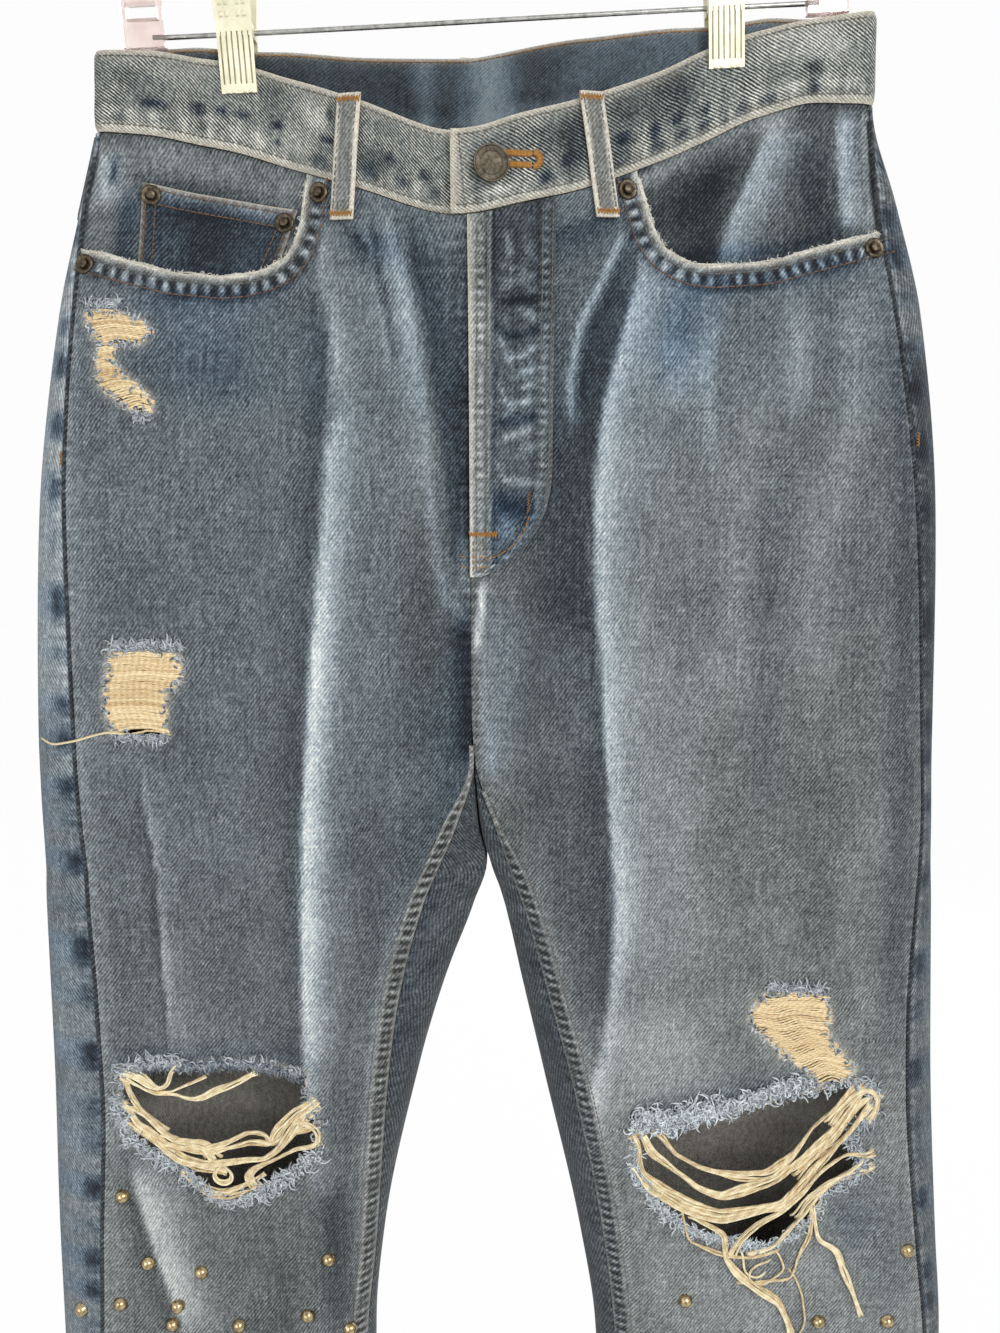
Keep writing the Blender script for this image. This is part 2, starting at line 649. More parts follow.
def makeDenim(name, look=denimLook, stops=denimStops, roughness=0.9):
    material, tree, shader = newMaterial(name, roughness, Sheen_Weight=0.12, Sheen_Roughness=0.6,
                                         Specular_IOR_Level=0.2)
    place, (u, v, _) = attribute(tree, "cloth")
    _, (fade, blue, edge) = attribute(tree, "tone")
    _, (beside, along, strength) = attribute(tree, "seam")
    wobble = centred(tree, noise(tree, scaled(tree, place, (0.07, 0.07, 1))), 1.6)
    phase = plus(tree, calc(tree, "DIVIDE", u, look["warp"]), calc(tree, "DIVIDE", v, look["weft"]))
    phase = plus(tree, phase, wobble)
    twill = calc(tree, "SINE", times(tree, phase, 2 * math.pi))
    patchy = noise(tree, scaled(tree, place, (0.06, 0.05, 1)), detail=1)
    speckle = noise(tree, scaled(tree, place, (0.95, 0.7, 1)), detail=3, rough=0.7)
    grain = noise(tree, scaled(tree, place, (0.40, 0.26, 1)), detail=2, rough=0.6)
    dashes = times(tree, noise(tree, scaled(tree, place, (0.5, 0.5, 1)), detail=2), patchy)
    twillAmount = times(tree, twill, times(tree, dashes, 2 * look["twill"]))
    streak = noise(tree, scaled(tree, place, (0.9, 0.035, 1)), detail=3, rough=0.6)
    slub = noise(tree, scaled(tree, place, (0.045, 0.75, 1)), detail=2)
    cloud = noise(tree, scaled(tree, place, (0.034, 0.022, 1)), detail=4, rough=0.6)
    mottle = noise(tree, scaled(tree, place, (0.16, 0.12, 1)), detail=2)
    value = plus(tree, fade, twillAmount)
    for part, amount in ((speckle, 2 * look["speckle"]), (grain, 2 * look["grain"]), (streak, 2 * look["streak"]),
                         (slub, look["streak"]), (cloud, 2 * look["cloud"]), (mottle, look["cloud"])):
        value = plus(tree, value, centred(tree, part, amount))
    shift = centred(tree, noise(tree, scaled(tree, place, (0.12, 0.12, 1)), detail=1), 3.0)
    rung = calc(tree, "SINE", plus(tree, times(tree, along, 2 * math.pi / look["ladderPitch"]), shift))
    aside = calc(tree, "DIVIDE", beside, look["ladderReach"])
    reach = calc(tree, "EXPONENT", times(tree, times(tree, aside, aside), -1.0))
    uneven = times(tree, calc(tree, "SUBTRACT", mottle, 0.28), 4.5, clamp=True)
    rungAmount = times(tree, times(tree, times(tree, rung, reach), strength), uneven)
    value = plus(tree, value, times(tree, rungAmount, look["ladder"]), clamp=True)
    colour = blendColour(tree, blue, ramp(tree, value, stops), ramp(tree, value, blueStops))
    broken = plus(tree, times(tree, speckle, 1.1), 0.55)
    worn = calc(tree, "EXPONENT", calc(tree, "DIVIDE", edge, -look["edge"]))
    worn = times(tree, worn, broken, clamp=True)
    colour = blendColour(tree, worn, colour, ramp(tree, speckle, wornStops))
    tree.links.new(colour, shader.inputs["Base Color"])
    height = times(tree, twill, look["bump"])
    height = plus(tree, height, centred(tree, speckle, 0.35))
    height = plus(tree, height, centred(tree, streak, 0.25))
    height = plus(tree, height, times(tree, rungAmount, 0.14))
    bumpTo(tree, shader, height)
    return material


denim = makeDenim("stonewashedDenim")
bandDenim = makeDenim("bandDenim", dict(
    denimLook, warp=2.15, weft=1.65, twill=0.50, streak=0.05, speckle=0.42, grain=0.22, cloud=0.15, ladder=0.05,
    ladderReach=4.5, edge=2.0), bandStops)
reverseDenim = makeDenim("denimReverse", dict(
    denimLook, warp=-1.5, twill=0.05, streak=0.05, ladder=0.05), reverseStops)
trimDenim = makeDenim("trimDenim", dict(denimLook, ladderPitch=5.0, ladder=0.15, ladderReach=2.2, edge=1.0))


def makeYarn(name, dark, light, twist=3.2, roughness=0.92, ownShare=0.4):
    material, tree, shader = newMaterial(name, roughness, Sheen_Weight=0.2, Sheen_Roughness=0.5,
                                         Specular_IOR_Level=0.2)
    place, (way, around, own) = attribute(tree, "yarn")
    coil = plus(tree, times(tree, way, 2 * math.pi / twist), times(tree, around, 2 * math.pi))
    ply = calc(tree, "SINE", coil)
    fuzz = noise(tree, scaled(tree, place, (1.2, 4.0, 9.0)), detail=2)
    value = plus(tree, times(tree, ply, 0.16), times(tree, own, ownShare))
    value = plus(tree, value, fuzz)
    value = plus(tree, value, -ownShare / 2, clamp=True)
    tree.links.new(ramp(tree, value, ((0.0, dark), (1.0, light))), shader.inputs["Base Color"])
    bumpTo(tree, shader, plus(tree, times(tree, ply, 0.12), times(tree, fuzz, 0.2)))
    return material


creamYarn = makeYarn("creamYarn", (184, 148, 94), (255, 245, 208), twist=7.0, ownShare=0.7)
patchYarn = makeYarn("patchYarn", (190, 156, 106), (254, 236, 194), ownShare=0.6)
frayYarn = makeYarn("frayYarn", (42, 58, 78), (232, 240, 244), twist=4.0, ownShare=0.9)
wornEdge = makeYarn("wornEdge", (176, 172, 160), (250, 247, 236), twist=2.6)
tonalThread = makeYarn("tonalThread", (84, 84, 82), (140, 138, 128), twist=1.6, roughness=0.7)
brownThread = makeYarn("brownThread", (92, 62, 44), (158, 112, 78), twist=1.6, roughness=0.7)
tobaccoThread = makeYarn("tobaccoThread", (142, 92, 30), (208, 150, 66), twist=1.6, roughness=0.65)


# Fading of the cloth, laid on by hand: base is the height's plain tone, each stroke adds to it

fronts = {
    "right": {
        "base": ((-205, 0.42, 0.3), (-300, 0.40, 0.34), (-400, 0.395, 0.32), (-560, 0.39, 0.26), (-690, 0.40, 0.18),
                 (-780, 0.40, 0.08), (-880, 0.41, 0.08), (-1050, 0.44, 0.1), (-1240, 0.48, 0.12)),
        "strokes": (
            (((-79, -256), (-78, -286), (-74, -305), (-70, -332)), 1.5, 6, 0.17, 24),
            (((-70, -350), (-75, -374), (-77, -407), (-82, -458), (-86, -507), (-90, -564), (-92, -618), (-94, -690)),
             1.2, 10, 0.24, 50, 0.35),
            (((-70, -300), (-75, -374), (-82, -458), (-90, -564), (-92, -618), (-94, -690)), 1.6, 26, 0.085, 60),
            (((-74, -300), (-79, -374), (-86, -458), (-94, -564), (-96, -618), (-98, -690)), 9, 1.4, -0.09, 60),
            (((-81, -440), (-86, -507), (-90, -564), (-93, -640)), 2, 8, 0.10, 60, 0.2),
            (((-44, -260), (-36, -291), (-32, -321), (-27, -357), (-25, -395), (-19, -434), (-10, -452)), 5, 1.3,
             0.15, 26, 0.3),
            (((-48, -258), (-40, -291), (-35, -330), (-32, -380)), 9, 4, 0.08, 30, 0.1),
            (((-36, -262), (-28, -300), (-21, -340), (-17, -380), (-13, -425)), 2.6, 15, -0.18, 40, 0.3),
            (((-11, -268), (-10, -330), (-9, -390)), 5, 5, -0.10, 30),
            (((-66, -262), (-54, -280), (-48, -300)), 2, 4, -0.10, 14),
            (((-57, -262), (-52, -290), (-46, -326)), 1.0, 1.8, 0.13, 14, 0.1),
            (((-53, -262), (-48, -290), (-42, -326)), 1.4, 1.0, -0.12, 14),
            (((-46, -264), (-41, -290), (-37, -310)), 0.9, 1.4, 0.10, 12),
            (((-60, -262), (-50, -276), (-45, -290)), 1.5, 3, 0.09, 14),
            (((-10, -450), (-12, -500), (-20, -560), (-34, -620)), 16, 12, -0.10, 60, 0.3),
            (((-60, -300), (-62, -420), (-66, -540)), 14, 12, -0.02, 80),
            (((-200, -300), (-204, -420), (-203, -560), (-201, -700), (-206, -860)), 8, 7, 0.08, 60),
            (((-172, -536), (-167, -587), (-167, -624), (-166, -672)), 0.8, 2.2, 0.16, 44),
            (((-172, -536), (-167, -587), (-167, -624), (-166, -672)), 1.0, 10, 0.07, 44),
            (((-174, -536), (-169, -587), (-169, -624), (-168, -672)), 4, 0.9, -0.10, 44),
            (((-190, -750), (-181, -790), (-168, -844)), 1.3, 16, 0.34, 30),
            (((-194, -754), (-185, -792), (-172, -844)), 9, 1.2, -0.08, 30),
            (((-95, -690), (-92, -730), (-90, -765)), 2.5, 12, 0.13, 26, 0.2),
            (((-84, -756), (-82, -800), (-80, -850)), 8, 12, -0.11, 26, 0.2),
            (((-64, -266), (-52, -270), (-40, -273)), 10, 6, -0.15, 12, 0.4, True),
            (((-10, -412), (-8, -440)), 5, 6, 0.13, 12),
            (((-110, -790), (-112, -860)), 20, 10, -0.05, 50),
            (((-46, -600), (-58, -700), (-66, -820)), 5, 8, 0.10, 60),
            (((-72, -640), (-78, -720), (-84, -820)), 9, 9, -0.07, 60),
            (((-140, -296), (-128, -344)), 34, 34, -0.05, 30, 0.4),
            (((-80, -306), (-78, -356)), 8, 6, -0.05, 24, 0.2),
            (((-32, -410), (-30, -520)), 14, 12, -0.06, 50),
            (((-60, -540), (-56, -650)), 16, 16, -0.07, 60),
            (((-28, -350), (-28, -480)), 12, 12, -0.02, 40, -0.25),
            (((-9, -452), (-7, -480), (-7, -524)), 7, 3, -0.24, 12, 0.3),
            (((-160, -295), (-100, -292)), 7, 4, -0.09, 40, 0.5, True),
            (((-196, -687), (-92, -682)), 6, 8, -0.05, 20, 0.4, True),
        ),
    },
    "left": {
        "base": ((-200, 0.42, 0.4), (-300, 0.40, 0.3), (-420, 0.40, 0.12), (-560, 0.43, 0.06), (-690, 0.46, 0.04),
                 (-780, 0.48, 0.04), (-880, 0.48, 0.06), (-1050, 0.50, 0.1), (-1240, 0.52, 0.12)),
        "strokes": (
            (((76, -280), (65, -320), (57, -353), (55, -376), (54, -419), (57, -458), (60, -498), (63, -539),
              (68, -600),
              (64, -660), (56, -700)), 1.4, 8, 0.15, 40, 0.4),
            (((76, -280), (65, -320), (57, -353), (55, -376), (54, -419), (57, -458), (60, -498), (64, -560),
              (66, -640)),
             1.1, 32, 0.13, 60, 0.25),
            (((73, -286), (62, -322), (54, -355), (52, -380), (51, -419), (54, -458), (57, -498), (60, -539),
              (65, -600), (60, -670)),
             20, 1.2, -0.17, 60, 0.3),
            (((66, -266), (56, -288), (46, -309), (41, -342), (43, -355)), 1.4, 2.6, 0.30, 12, 0.4),
            (((70, -266), (61, -290), (51, -311), (46, -342)), 1.5, 7, -0.12, 16, 0.2),
            (((30, -300), (34, -420), (34, -520), (40, -600)), 16, 12, -0.06, 90, 0.2),
            (((4, -440), (8, -480), (4, -530)), 5, 14, 0.07, 30, 0.5),
            (((-2, -462), (-1, -490), (3, -530)), 1.6, 4, 0.12, 12, 0.4),
            (((0, -432), (-2, -448), (-4, -466)), 1.6, 2.4, 0.46, 6, 0.3),
            (((95, -290), (90, -330)), 12, 16, -0.10, 30, 0.7),
            (((100, -288), (180, -276)), 8, 4, -0.08, 30, 0.7, True),
            (((112, -296), (108, -330), (112, -370)), 6, 4, 0.12, 30, 0.3),
            (((150, -292), (152, -345)), 8, 5, 0.14, 30, 0.1),
            (((172, -300), (176, -340), (170, -390)), 5, 9, 0.09, 30),
            (((128, -330), (124, -400), (126, -450)), 9, 12, 0.07, 60),
            (((168, -370), (162, -430), (170, -500)), 10, 12, 0.06, 70),
            (((140, -380), (136, -450), (142, -540)), 7, 9, -0.06, 60, 0.2),
            (((110, -470), (100, -540), (110, -620)), 12, 10, 0.05, 70),
            (((176, -500), (172, -580), (178, -640)), 16, 12, -0.05, 80),
            (((200, -300), (208, -440), (211, -560), (212, -680)), 6, 14, -0.10, 60, 0.2),
            (((216, -760), (222, -830)), 12, 12, -0.05, 40, 0.3),
            (((60, -690), (54, -720), (50, -770)), 4, 10, 0.12, 30),
            (((28, -600), (44, -680), (56, -760), (66, -840)), 9, 7, 0.07, 60),
            (((84, -655), (90, -712)), 26, 36, 0.13, 24),
            (((44, -455), (44, -520)), 12, 12, 0.11, 30),
            (((125, -410), (125, -500)), 26, 26, 0.045, 40),
            (((92, -316), (94, -346)), 10, 10, 0.12, 12, 0.3),
            (((20, -270), (44, -264), (64, -257)), 10, 5, -0.14, 14, 0.3, True),
            (((80, -718), (140, -704), (200, -692)), 5, 9, -0.05, 20, 0.5, True),
            (((90, -812), (140, -822), (200, -800)), 16, 12, 0.04, 50, 0, True),
            (((196, -760), (200, -800)), 12, 12, -0.07, 40, 0.5),
            (((150, -840), (156, -900)), 14, 14, 0.06, 40),
        ),
    },
}
frontGridSize = {"columns": 80, "topRows": 30, "finePitch": 2.6, "lowPitch": 4.0, "fineTo": -880.0}
clothHalf = 0.6


def paint(x, z, base, strokes):
    line = sorted(base)
    more, blueness = laid(x, z, strokes)
    fade = readCurve([p[0] for p in line], [p[1] for p in line], z) + more
    blue = readCurve([p[0] for p in line], [p[2] if len(p) > 2 else 0.2 for p in line], z)
    return fade, np.clip(blue + 0.6 * blueness, 0, 1)


def belowBand(face, x):
    return bandLine(face, "bottom", x) - 0.6


def rowsDown(upper, lower, downs):
    # heights of rows between two lines, as a function of face and x
    def height(face, x):
        part = downs[:, None]
        return upper(face, x) * (1 - part) + lower(face, x) * part
    return height


def level(z):
    return lambda face, x: np.full_like(np.asarray(x, float), z)


def frontHeights():
    size = frontGridSize
    top = np.linspace(0, 1, size["topRows"])[:-1]
    fine = np.arange(-300.0, size["fineTo"], -size["finePitch"])
    bottom = hemBottom + hemHeight + gap
    low = np.linspace(size["fineTo"], bottom, int((size["fineTo"] - bottom) / size["lowPitch"]) + 1)
    return top, np.concatenate([fine, low])


def arcAcross(points, reference):
    # distance across the cloth, counted from where each row passes the reference x
    steps = np.linalg.norm(np.diff(points, axis=1), axis=2)
    way = np.concatenate([np.zeros((len(points), 1)), np.cumsum(steps, axis=1)], 1)
    start = np.array([np.interp(0, (row[:, 0] - reference) * np.sign(row[-1, 0] - row[0, 0]), along)
                      for row, along in zip(points, way)])
    return way - start[:, None]


def makeFront(side):
    part = np.linspace(0, 1, frontGridSize["columns"])[None]
    top, levels = frontHeights()
    sign = -1 if side == "right" else 1
    z = np.concatenate([np.full(len(top), -270.0), levels])[:, None] + 0 * part
    for _ in range(4):
        first = section(side, "inseam", z) + sign * gap / 2
        last = section(side, "seam", z) - sign * gap
        x = first + (last - first) * part
        z[:len(top)] = belowBand("front", x[:len(top)]) * (1 - top[:, None]) - 300.0 * top[:, None]
    flat = np.stack([x, z], -1)
    mouth = rounded(mouths[side], 2.2)
    outer = 260 if side == "left" else -260
    above = np.vstack([[[mouth[0][0], -120]], mouth, [[outer, mouth[-1][1]]], [[outer, -120]]])
    cuts = [("mouth", above), ("rip", jagged(rips[side], 1.5, 0.55, 5))]
    for name, outline in wornPatches[side].items():
        cuts.append((name, jagged(outline, 1.5, 0.6, 9)))
    keep = np.ones((len(z) - 1, z.shape[1] - 1), bool)
    edge = np.full(z.shape, 99.0)
    for name, outline in cuts:
        low, high = outline.min(0) - 8, outline.max(0) + 8
        rows = np.where((z.min(1) < high[1]) & (z.max(1) > low[1]))[0]
        block = slice(rows[0], min(rows[-1] + 2, len(z)))
        points = flat[block]
        middle = (points[:-1, :-1] + points[1:, :-1] + points[:-1, 1:] + points[1:, 1:]) / 4
        gone = inside(middle, outline)
        keep[block.start:block.stop - 1] &= ~gone
        whole = np.pad(~gone, 1, constant_values=False)
        removed = np.pad(gone, 1, constant_values=False)
        touchesKept, touchesGone = (each[1:, 1:] | each[:-1, 1:] | each[1:, :-1] | each[:-1, :-1]
                                    for each in (whole, removed))
        distance, _, spot = nearest(points, outline if name != "mouth" else mouth, name != "mouth")
        border = touchesKept & touchesGone & (distance < 4)
        points[border] = spot[border]
        distance[border] = 0
        edge[block] = np.minimum(edge[block], distance)
    x, z = flat[..., 0], flat[..., 1]
    points = np.stack([x, -clothDepth(side, "front", x, z), z], -1)
    across = sign * (arcAcross(points, sign * 120.0) + 120.0)
    fade, blue = paint(x, z, fronts[side]["base"], fronts[side]["strokes"])
    # the doubled, stitched hem of the pocket mouth, with its cream rolled edge
    away, along, _ = nearest(flat, mouth)
    hem = ease((12.0 - away) / 2.0)
    fade = fade + hem * (0.30 * ease((2.6 - away) / 1.0) - 0.05)
    fade = fade - 0.18 * near(away, 3.4, 0.9) - 0.15 * near(away, 11.6, 1.2)
    # along the side seam and the inside leg
    toSeam = np.abs(section(side, "seam", z) - x)
    toInseam = np.abs(x - section(side, "inseam", z))
    legOnly = ease((crotch - 20 - z) / 30)
    fade = fade + 0.12 * near(toSeam, 0, 2.2) * ease((-290 - z) / 20)
    fade = fade + legOnly * (0.06 * near(toInseam, 8.5, 3.0) - 0.10 * near(toInseam, 4.6, 1.2))
    toEither = np.minimum(toSeam, toInseam)
    fromMouth = away <= toEither
    run = np.where(fromMouth, along, -z)
    strength = np.where(fromMouth, 4.6, np.where(toSeam < toInseam, 0.8, 0.9))
    beside = np.where(fromMouth, np.abs(away - 7.0) * 1.8, toEither)
    piece = clothSolid("front_" + side + "_cloth", points, gridQuads(*x.shape, keep), clothHalf + 0.25 * hem,
                       [denim, reverseDenim], cloth=(across, z, 0), tone=(fade, blue, edge),
                       seam=(beside, run, strength))
    return handOver(piece, "denim", "front_" + side)


def ringRows(side, height, rows, count=130):
    # rows of points round one half: along the front out to the side fold, and along the back in again
    part = (1 - np.cos(np.linspace(0, np.pi, count))) / 2
    loop = []
    for face, sign in (("front", -1), ("back", 1)):
        z = height(face, np.full((rows, count), centre))
        for _ in range(3):
            edge = section(side, "edge", z)
            inner = section(side, "inner", z)
            x = inner + (edge - inner) * part
            z = height(face, x)
        points = np.stack([x, sign * clothDepth(side, face, x, z), z], -1)
        loop.append(points if face == "front" else points[:, -2::-1])
    loop.append(loop[0][:, :1])
    return np.concatenate(loop, 1), count


def ringPanel(side, height, rows, stops):
    # stops(inseam, seam, fold, backEnd, whole) gives the distances of one row's points
    loop, count = ringRows(side, height, rows)
    outward = -1 if side == "right" else 1
    grid, ways = [], []
    for row in loop:
        way = wayAlong(row)
        front = row[:count]
        places = [float(np.interp(0.0, outward * (front[:, 0] - section(side, column, front[:, 2])), way[:count]))
                  for column in ("inseam", "seam")]
        stop = stops(places[0], places[1], way[count - 1], way[-2], way[-1])
        grid.append(readAlong(row, way, stop % way[-1]))
        back = row[count:-1]
        middle = np.interp(0.0, -outward * (back[:, 0] - outward * 115.0), way[count:-1])
        ways.append(stop - middle)
    return np.array(grid), np.array(ways)


backs = {
    "base": ((-200, 0.43), (-300, 0.44), (-420, 0.52), (-520, 0.50), (-620, 0.46), (-760, 0.48), (-900, 0.46),
             (-1240, 0.50)),
    "strokes": {
        "right": (
            (((-104, -330), (-100, -400), (-104, -470)), 44, 44, 0.13, 90),
            (((-150, -470), (-118, -482), (-70, -478)), 8, 5, -0.09, 40, 0, True),
            (((-214, -748), (-150, -738), (-86, -752)), 7, 9, 0.12, 50, 0, True),
            (((-206, -778), (-150, -770), (-96, -782)), 9, 6, -0.1, 50, 0, True),
            (((-110, -540), (-122, -640), (-116, -720)), 20, 16, 0.1, 70),
            (((-30, -400), (-34, -560), (-50, -700)), 20, 14, -0.1, 80, 0.3),
        ),
        "left": (
            (((98, -330), (96, -400), (100, -470)), 44, 44, 0.13, 90),
            (((60, -478), (104, -486), (150, -474)), 8, 5, -0.09, 40, 0, True),
            (((88, -752), (150, -742), (220, -756)), 7, 9, 0.12, 50, 0, True),
            (((100, -784), (156, -774), (226, -788)), 9, 6, -0.1, 50, 0, True),
            (((110, -540), (124, -640), (118, -730)), 16, 20, 0.1, 70),
            (((22, -400), (28, -560), (46, -700)), 14, 20, -0.1, 80, 0.3),
        ),
    },
}
backGridSize = {"strip": 12, "columns": 66, "wrap": 14, "topRows": 28, "pitch": 4.0}
# the strips of the back seen from the front: fade above and below, its change at the top, spots and blueness
sideStrips = {
    "right": {"fade": (0.60, 0.47), "top": 0.0, "spot": 0.40, "blue": 0.30, "shift": 0},
    "left": {"fade": (0.23, 0.37), "top": 0.14, "spot": 0.26, "blue": 0.15, "shift": 11},
}


def backTone(side, points, way):
    # the plain back, and the blue strip that turns onto the front outside the side seam
    x, y, z = points[..., 0], points[..., 1], points[..., 2]
    fade, blue = paint(x, z, backs["base"], backs["strokes"][side])
    onFront = ease(-y / 6)
    strip = np.abs(x) > 100
    fromSeam = np.abs(way - way[:, :1])
    look = sideStrips[side]
    wave = z + look["shift"]
    spots = 0.45 + 0.5 * np.sin(wave / 3.9 + 2.2 * np.sin(wave / 43))
    spots = np.clip(spots + 0.45 * np.sin(wave / 7.3 + 1.5 * np.sin(wave / 29)), 0, 1)
    high, low = look["fade"]
    stripFade = high + (low - high) * ease((-470 - z) / 70) + look["top"] * ease((z + 335) / 25)
    stripFade = stripFade - look["spot"] * spots ** 2 * near(fromSeam, 5, 5.0) + 0.10 * near(fromSeam, 2.4, 1.2)
    fade = fade * (1 - onFront * strip) + stripFade * onFront * strip
    blue = blue * (1 - onFront * strip) + (look["blue"] + 0.45 * spots) * onFront * strip
    innerLeg = onFront * ~strip
    toInseam = np.abs(x - section(side, "inseam", z))
    fade = fade * (1 - innerLeg) + innerLeg * 0.28
    return fade, blue, fromSeam, toInseam, innerLeg


def makeBack(side):
    size = backGridSize
    bottom = hemBottom + hemHeight + gap
    upperDowns = np.linspace(0, 1, size["topRows"])[:-1]
    levels = np.linspace(-360, crotch, int((crotch + 360) / -size["pitch"]) + 1)[:-1]
    legs = np.linspace(crotch, bottom, int((crotch - bottom) / size["pitch"]) + 1)
    upper = rowsDown(lambda face, x: yokeLine(face, x) - gap, level(-360.0), upperDowns)
    lower = rowsDown(level(0.0), level(-1.0), -np.concatenate([levels, legs]))

    def stops(inseam, seam, fold, backEnd, whole):
        corner = 1.2
        return np.concatenate([
            np.linspace(seam + gap / 2, fold, size["strip"])[:-1],
            np.linspace(fold, backEnd - gap, size["columns"]),
            np.linspace(backEnd - gap, whole + inseam - gap / 2 - corner, size["wrap"])[1:]])

    grids = [ringPanel(side, upper, len(upperDowns), stops), ringPanel(side, lower, len(levels) + len(legs), stops)]
    points = np.concatenate([grids[0][0], grids[1][0]])
    way = np.concatenate([grids[0][1], grids[1][1]])
    torso = len(upperDowns) + len(levels)
    keep = np.ones((len(points) - 1, points.shape[1] - 1), bool)
    # above the crotch nothing turns in at the inside of the leg
    keep[:torso, size["strip"] + size["columns"] - 2:] = False
    x, y, z = points[..., 0], points[..., 1], points[..., 2]
    fade, blue, fromSeam, toInseam, innerLeg = backTone(side, points, way)
    beside = np.where(innerLeg > 0.3, toInseam, fromSeam)
    toCentre = np.abs(x - centre) + 60 * ease((crotch + 40 - z) / 30)
    beside = np.minimum(beside, np.where(y > 4, toCentre, 99))
    piece = clothSolid("back_" + side + "_cloth", points, gridQuads(*z.shape, keep), clothHalf, [denim, reverseDenim],
                       cloth=(way, z, 0), tone=(fade, blue, 99), seam=(beside, -z, 0.9))
    return handOver(piece, "denim", "back_" + side)


def yokeLine(face, x):
    flat = readCurve(yokeSeam["x"], yokeSeam["z"], x)
    if face == "front":
        flat = np.where(np.asarray(x) < centre, yokeSeam["z"][0], yokeSeam["z"][-1])
    return flat


def makeYoke(side):
    rows = 18
    height = rowsDown(belowBand, yokeLine, np.linspace(0, 1, rows))

    def stops(inseam, seam, fold, backEnd, whole):
        return np.concatenate([np.linspace(seam + gap, fold, 8)[:-1], np.linspace(fold, backEnd - gap, 58)])

    points, way = ringPanel(side, height, rows, stops)
    z = points[..., 2]
    fade, blue, fromSeam, _, _ = backTone(side, points, way)
    away = np.abs(z - yokeLine("back", points[..., 0]))
    fade = fade + 0.10 * near(away, 0, 3)
    seam = (np.minimum(away, fromSeam), np.where(away < fromSeam, way, z), 1.0)
    piece = clothSolid("yoke_" + side + "_cloth", points, gridQuads(*z.shape), clothHalf, [denim, reverseDenim],
                       cloth=(way, z, 0), tone=(fade, blue, 99), seam=seam)
    return handOver(piece, "denim", "yoke_" + side)


hemLook = {"half": 1.3, "rows": 9, "columns": 190, "fade": 0.55}


def makeHem(side):
    rows = hemLook["rows"]
    down = np.linspace(0, 1, rows)
    height = rowsDown(level(hemBottom + hemHeight), level(hemBottom), down)

    def stops(inseam, seam, fold, backEnd, whole):
        return np.linspace(0, whole, hemLook["columns"] + 1)[:-1]

    points, way = ringPanel(side, height, rows, stops)
    z = points[..., 2]
    half = hemLook["half"] * (1 - 0.75 * np.clip(np.abs(2 * down - 1) * 1.6 - 0.6, 0, 1) ** 3)[:, None]
    half = half + 0.12 * np.sin(way / 2.4) * np.sin(np.pi * down)[:, None]
    fade = hemLook["fade"] + 0.16 * ease(1 - (z - hemBottom) / 4) - 0.1 * near(z - hemBottom, 11, 2.0)
    piece = clothSolid("hem_" + side + "_cloth", points, gridQuads(rows, hemLook["columns"], None, True), half,
                       [denim, reverseDenim], cloth=(way, z, 0), tone=(fade, 0.15, z - hemBottom + 0.4),
                       seam=(0, way, 1.4))
    return handOver(piece, "denim_pale", "hem_" + side)


# Waistband: one strip from its right end, under the overlap, round the back to its left end over it

band = {
    "half": 1.5, "height": 38.0, "rows": 17, "columns": 345,
    "fadeRight": 0.435, "fadeLeft": 0.40, "fadeBack": 0.44,
}
# unfaded spots of the band: x, height over the lower edge, half width and height, amount; negative ones are paler
bandSpots = (
    (-175, 7, 4, 2.4, 0.12), (-175, 13.5, 4.5, 1.6, 0.10), (-157, 14, 7, 2.4, 0.22), (-152, 8, 4, 2, 0.07),
    (-137, 15.5, 4, 2.2, 0.24), (-136, 8, 3, 2.6, 0.12), (-126, 16, 3.5, 2, 0.22), (-127, 8, 3, 2.4, 0.09),
    (-115, 16, 5, 1.5, 0.20), (-99, 17, 3, 2, 0.24), (-99, 9, 2, 2.4, 0.17), (-74, 17, 4, 2, 0.20),
    (-78, 6, 6, 4.5, 0.16), (-72, 27, 1.5, 4, 0.2), (-90, 14, 6, 6, -0.09), (-80, 25, 9, 8, -0.12),
    (-101, 31, 8, 5, 0.08), (43, 24, 8, 12, 0.12), (44, 11, 7, 8, 0.10), (27, 24, 9, 7, 0.08),
    (27, 9, 9, 5, 0.08), (66, 10, 5, 9, 0.12), (66, 27, 8, 7, 0.08), (-52, 12, 8, 9, 0.08),
    (-14, 9, 9, 8, 0.08), (-108, 8, 5, 4, -0.07), (-54, 8, 4, 5, 0.14), (-44, 17, 3, 3, 0.16),
    (-38, 9, 4, 2.5, 0.15), (-28, 15, 3, 2.4, 0.18), (-22, 8, 3, 2.4, 0.12), (8, 7, 8, 2.6, -0.10),
    (24, 15, 3, 2.5, 0.16), (30, 8, 4, 2.6, 0.16), (38, 13, 3, 3, 0.14), (66, 15.5, 4, 3, 0.20),
    (64, 5, 4, 2.4, 0.10), (82, 13, 2.6, 4.5, 0.24), (84, 6.5, 5, 2.2, 0.18), (93, 15, 3, 2, 0.20),
    (96, 7, 4, 2.2, 0.18), (107, 13, 2, 3, 0.20), (107, 6.5, 3, 2, 0.22), (117, 4.5, 1.5, 2.4, 0.14),
    (124, 6, 2.6, 2.6, 0.17), (136, 6.5, 4, 2.6, 0.18), (88, 26, 17, 14, 0.10), (158, 26, 26, 12, -0.13),
    (-150, 30, 20, 5, -0.05), (-170, 25, 6, 6, 0.06), (157, 6.5, 2.6, 4, 0.24), (157, 16, 4, 4, 0.14),
    (146, 9, 12, 3, -0.08), (168, 9, 10, 3, -0.09),
)


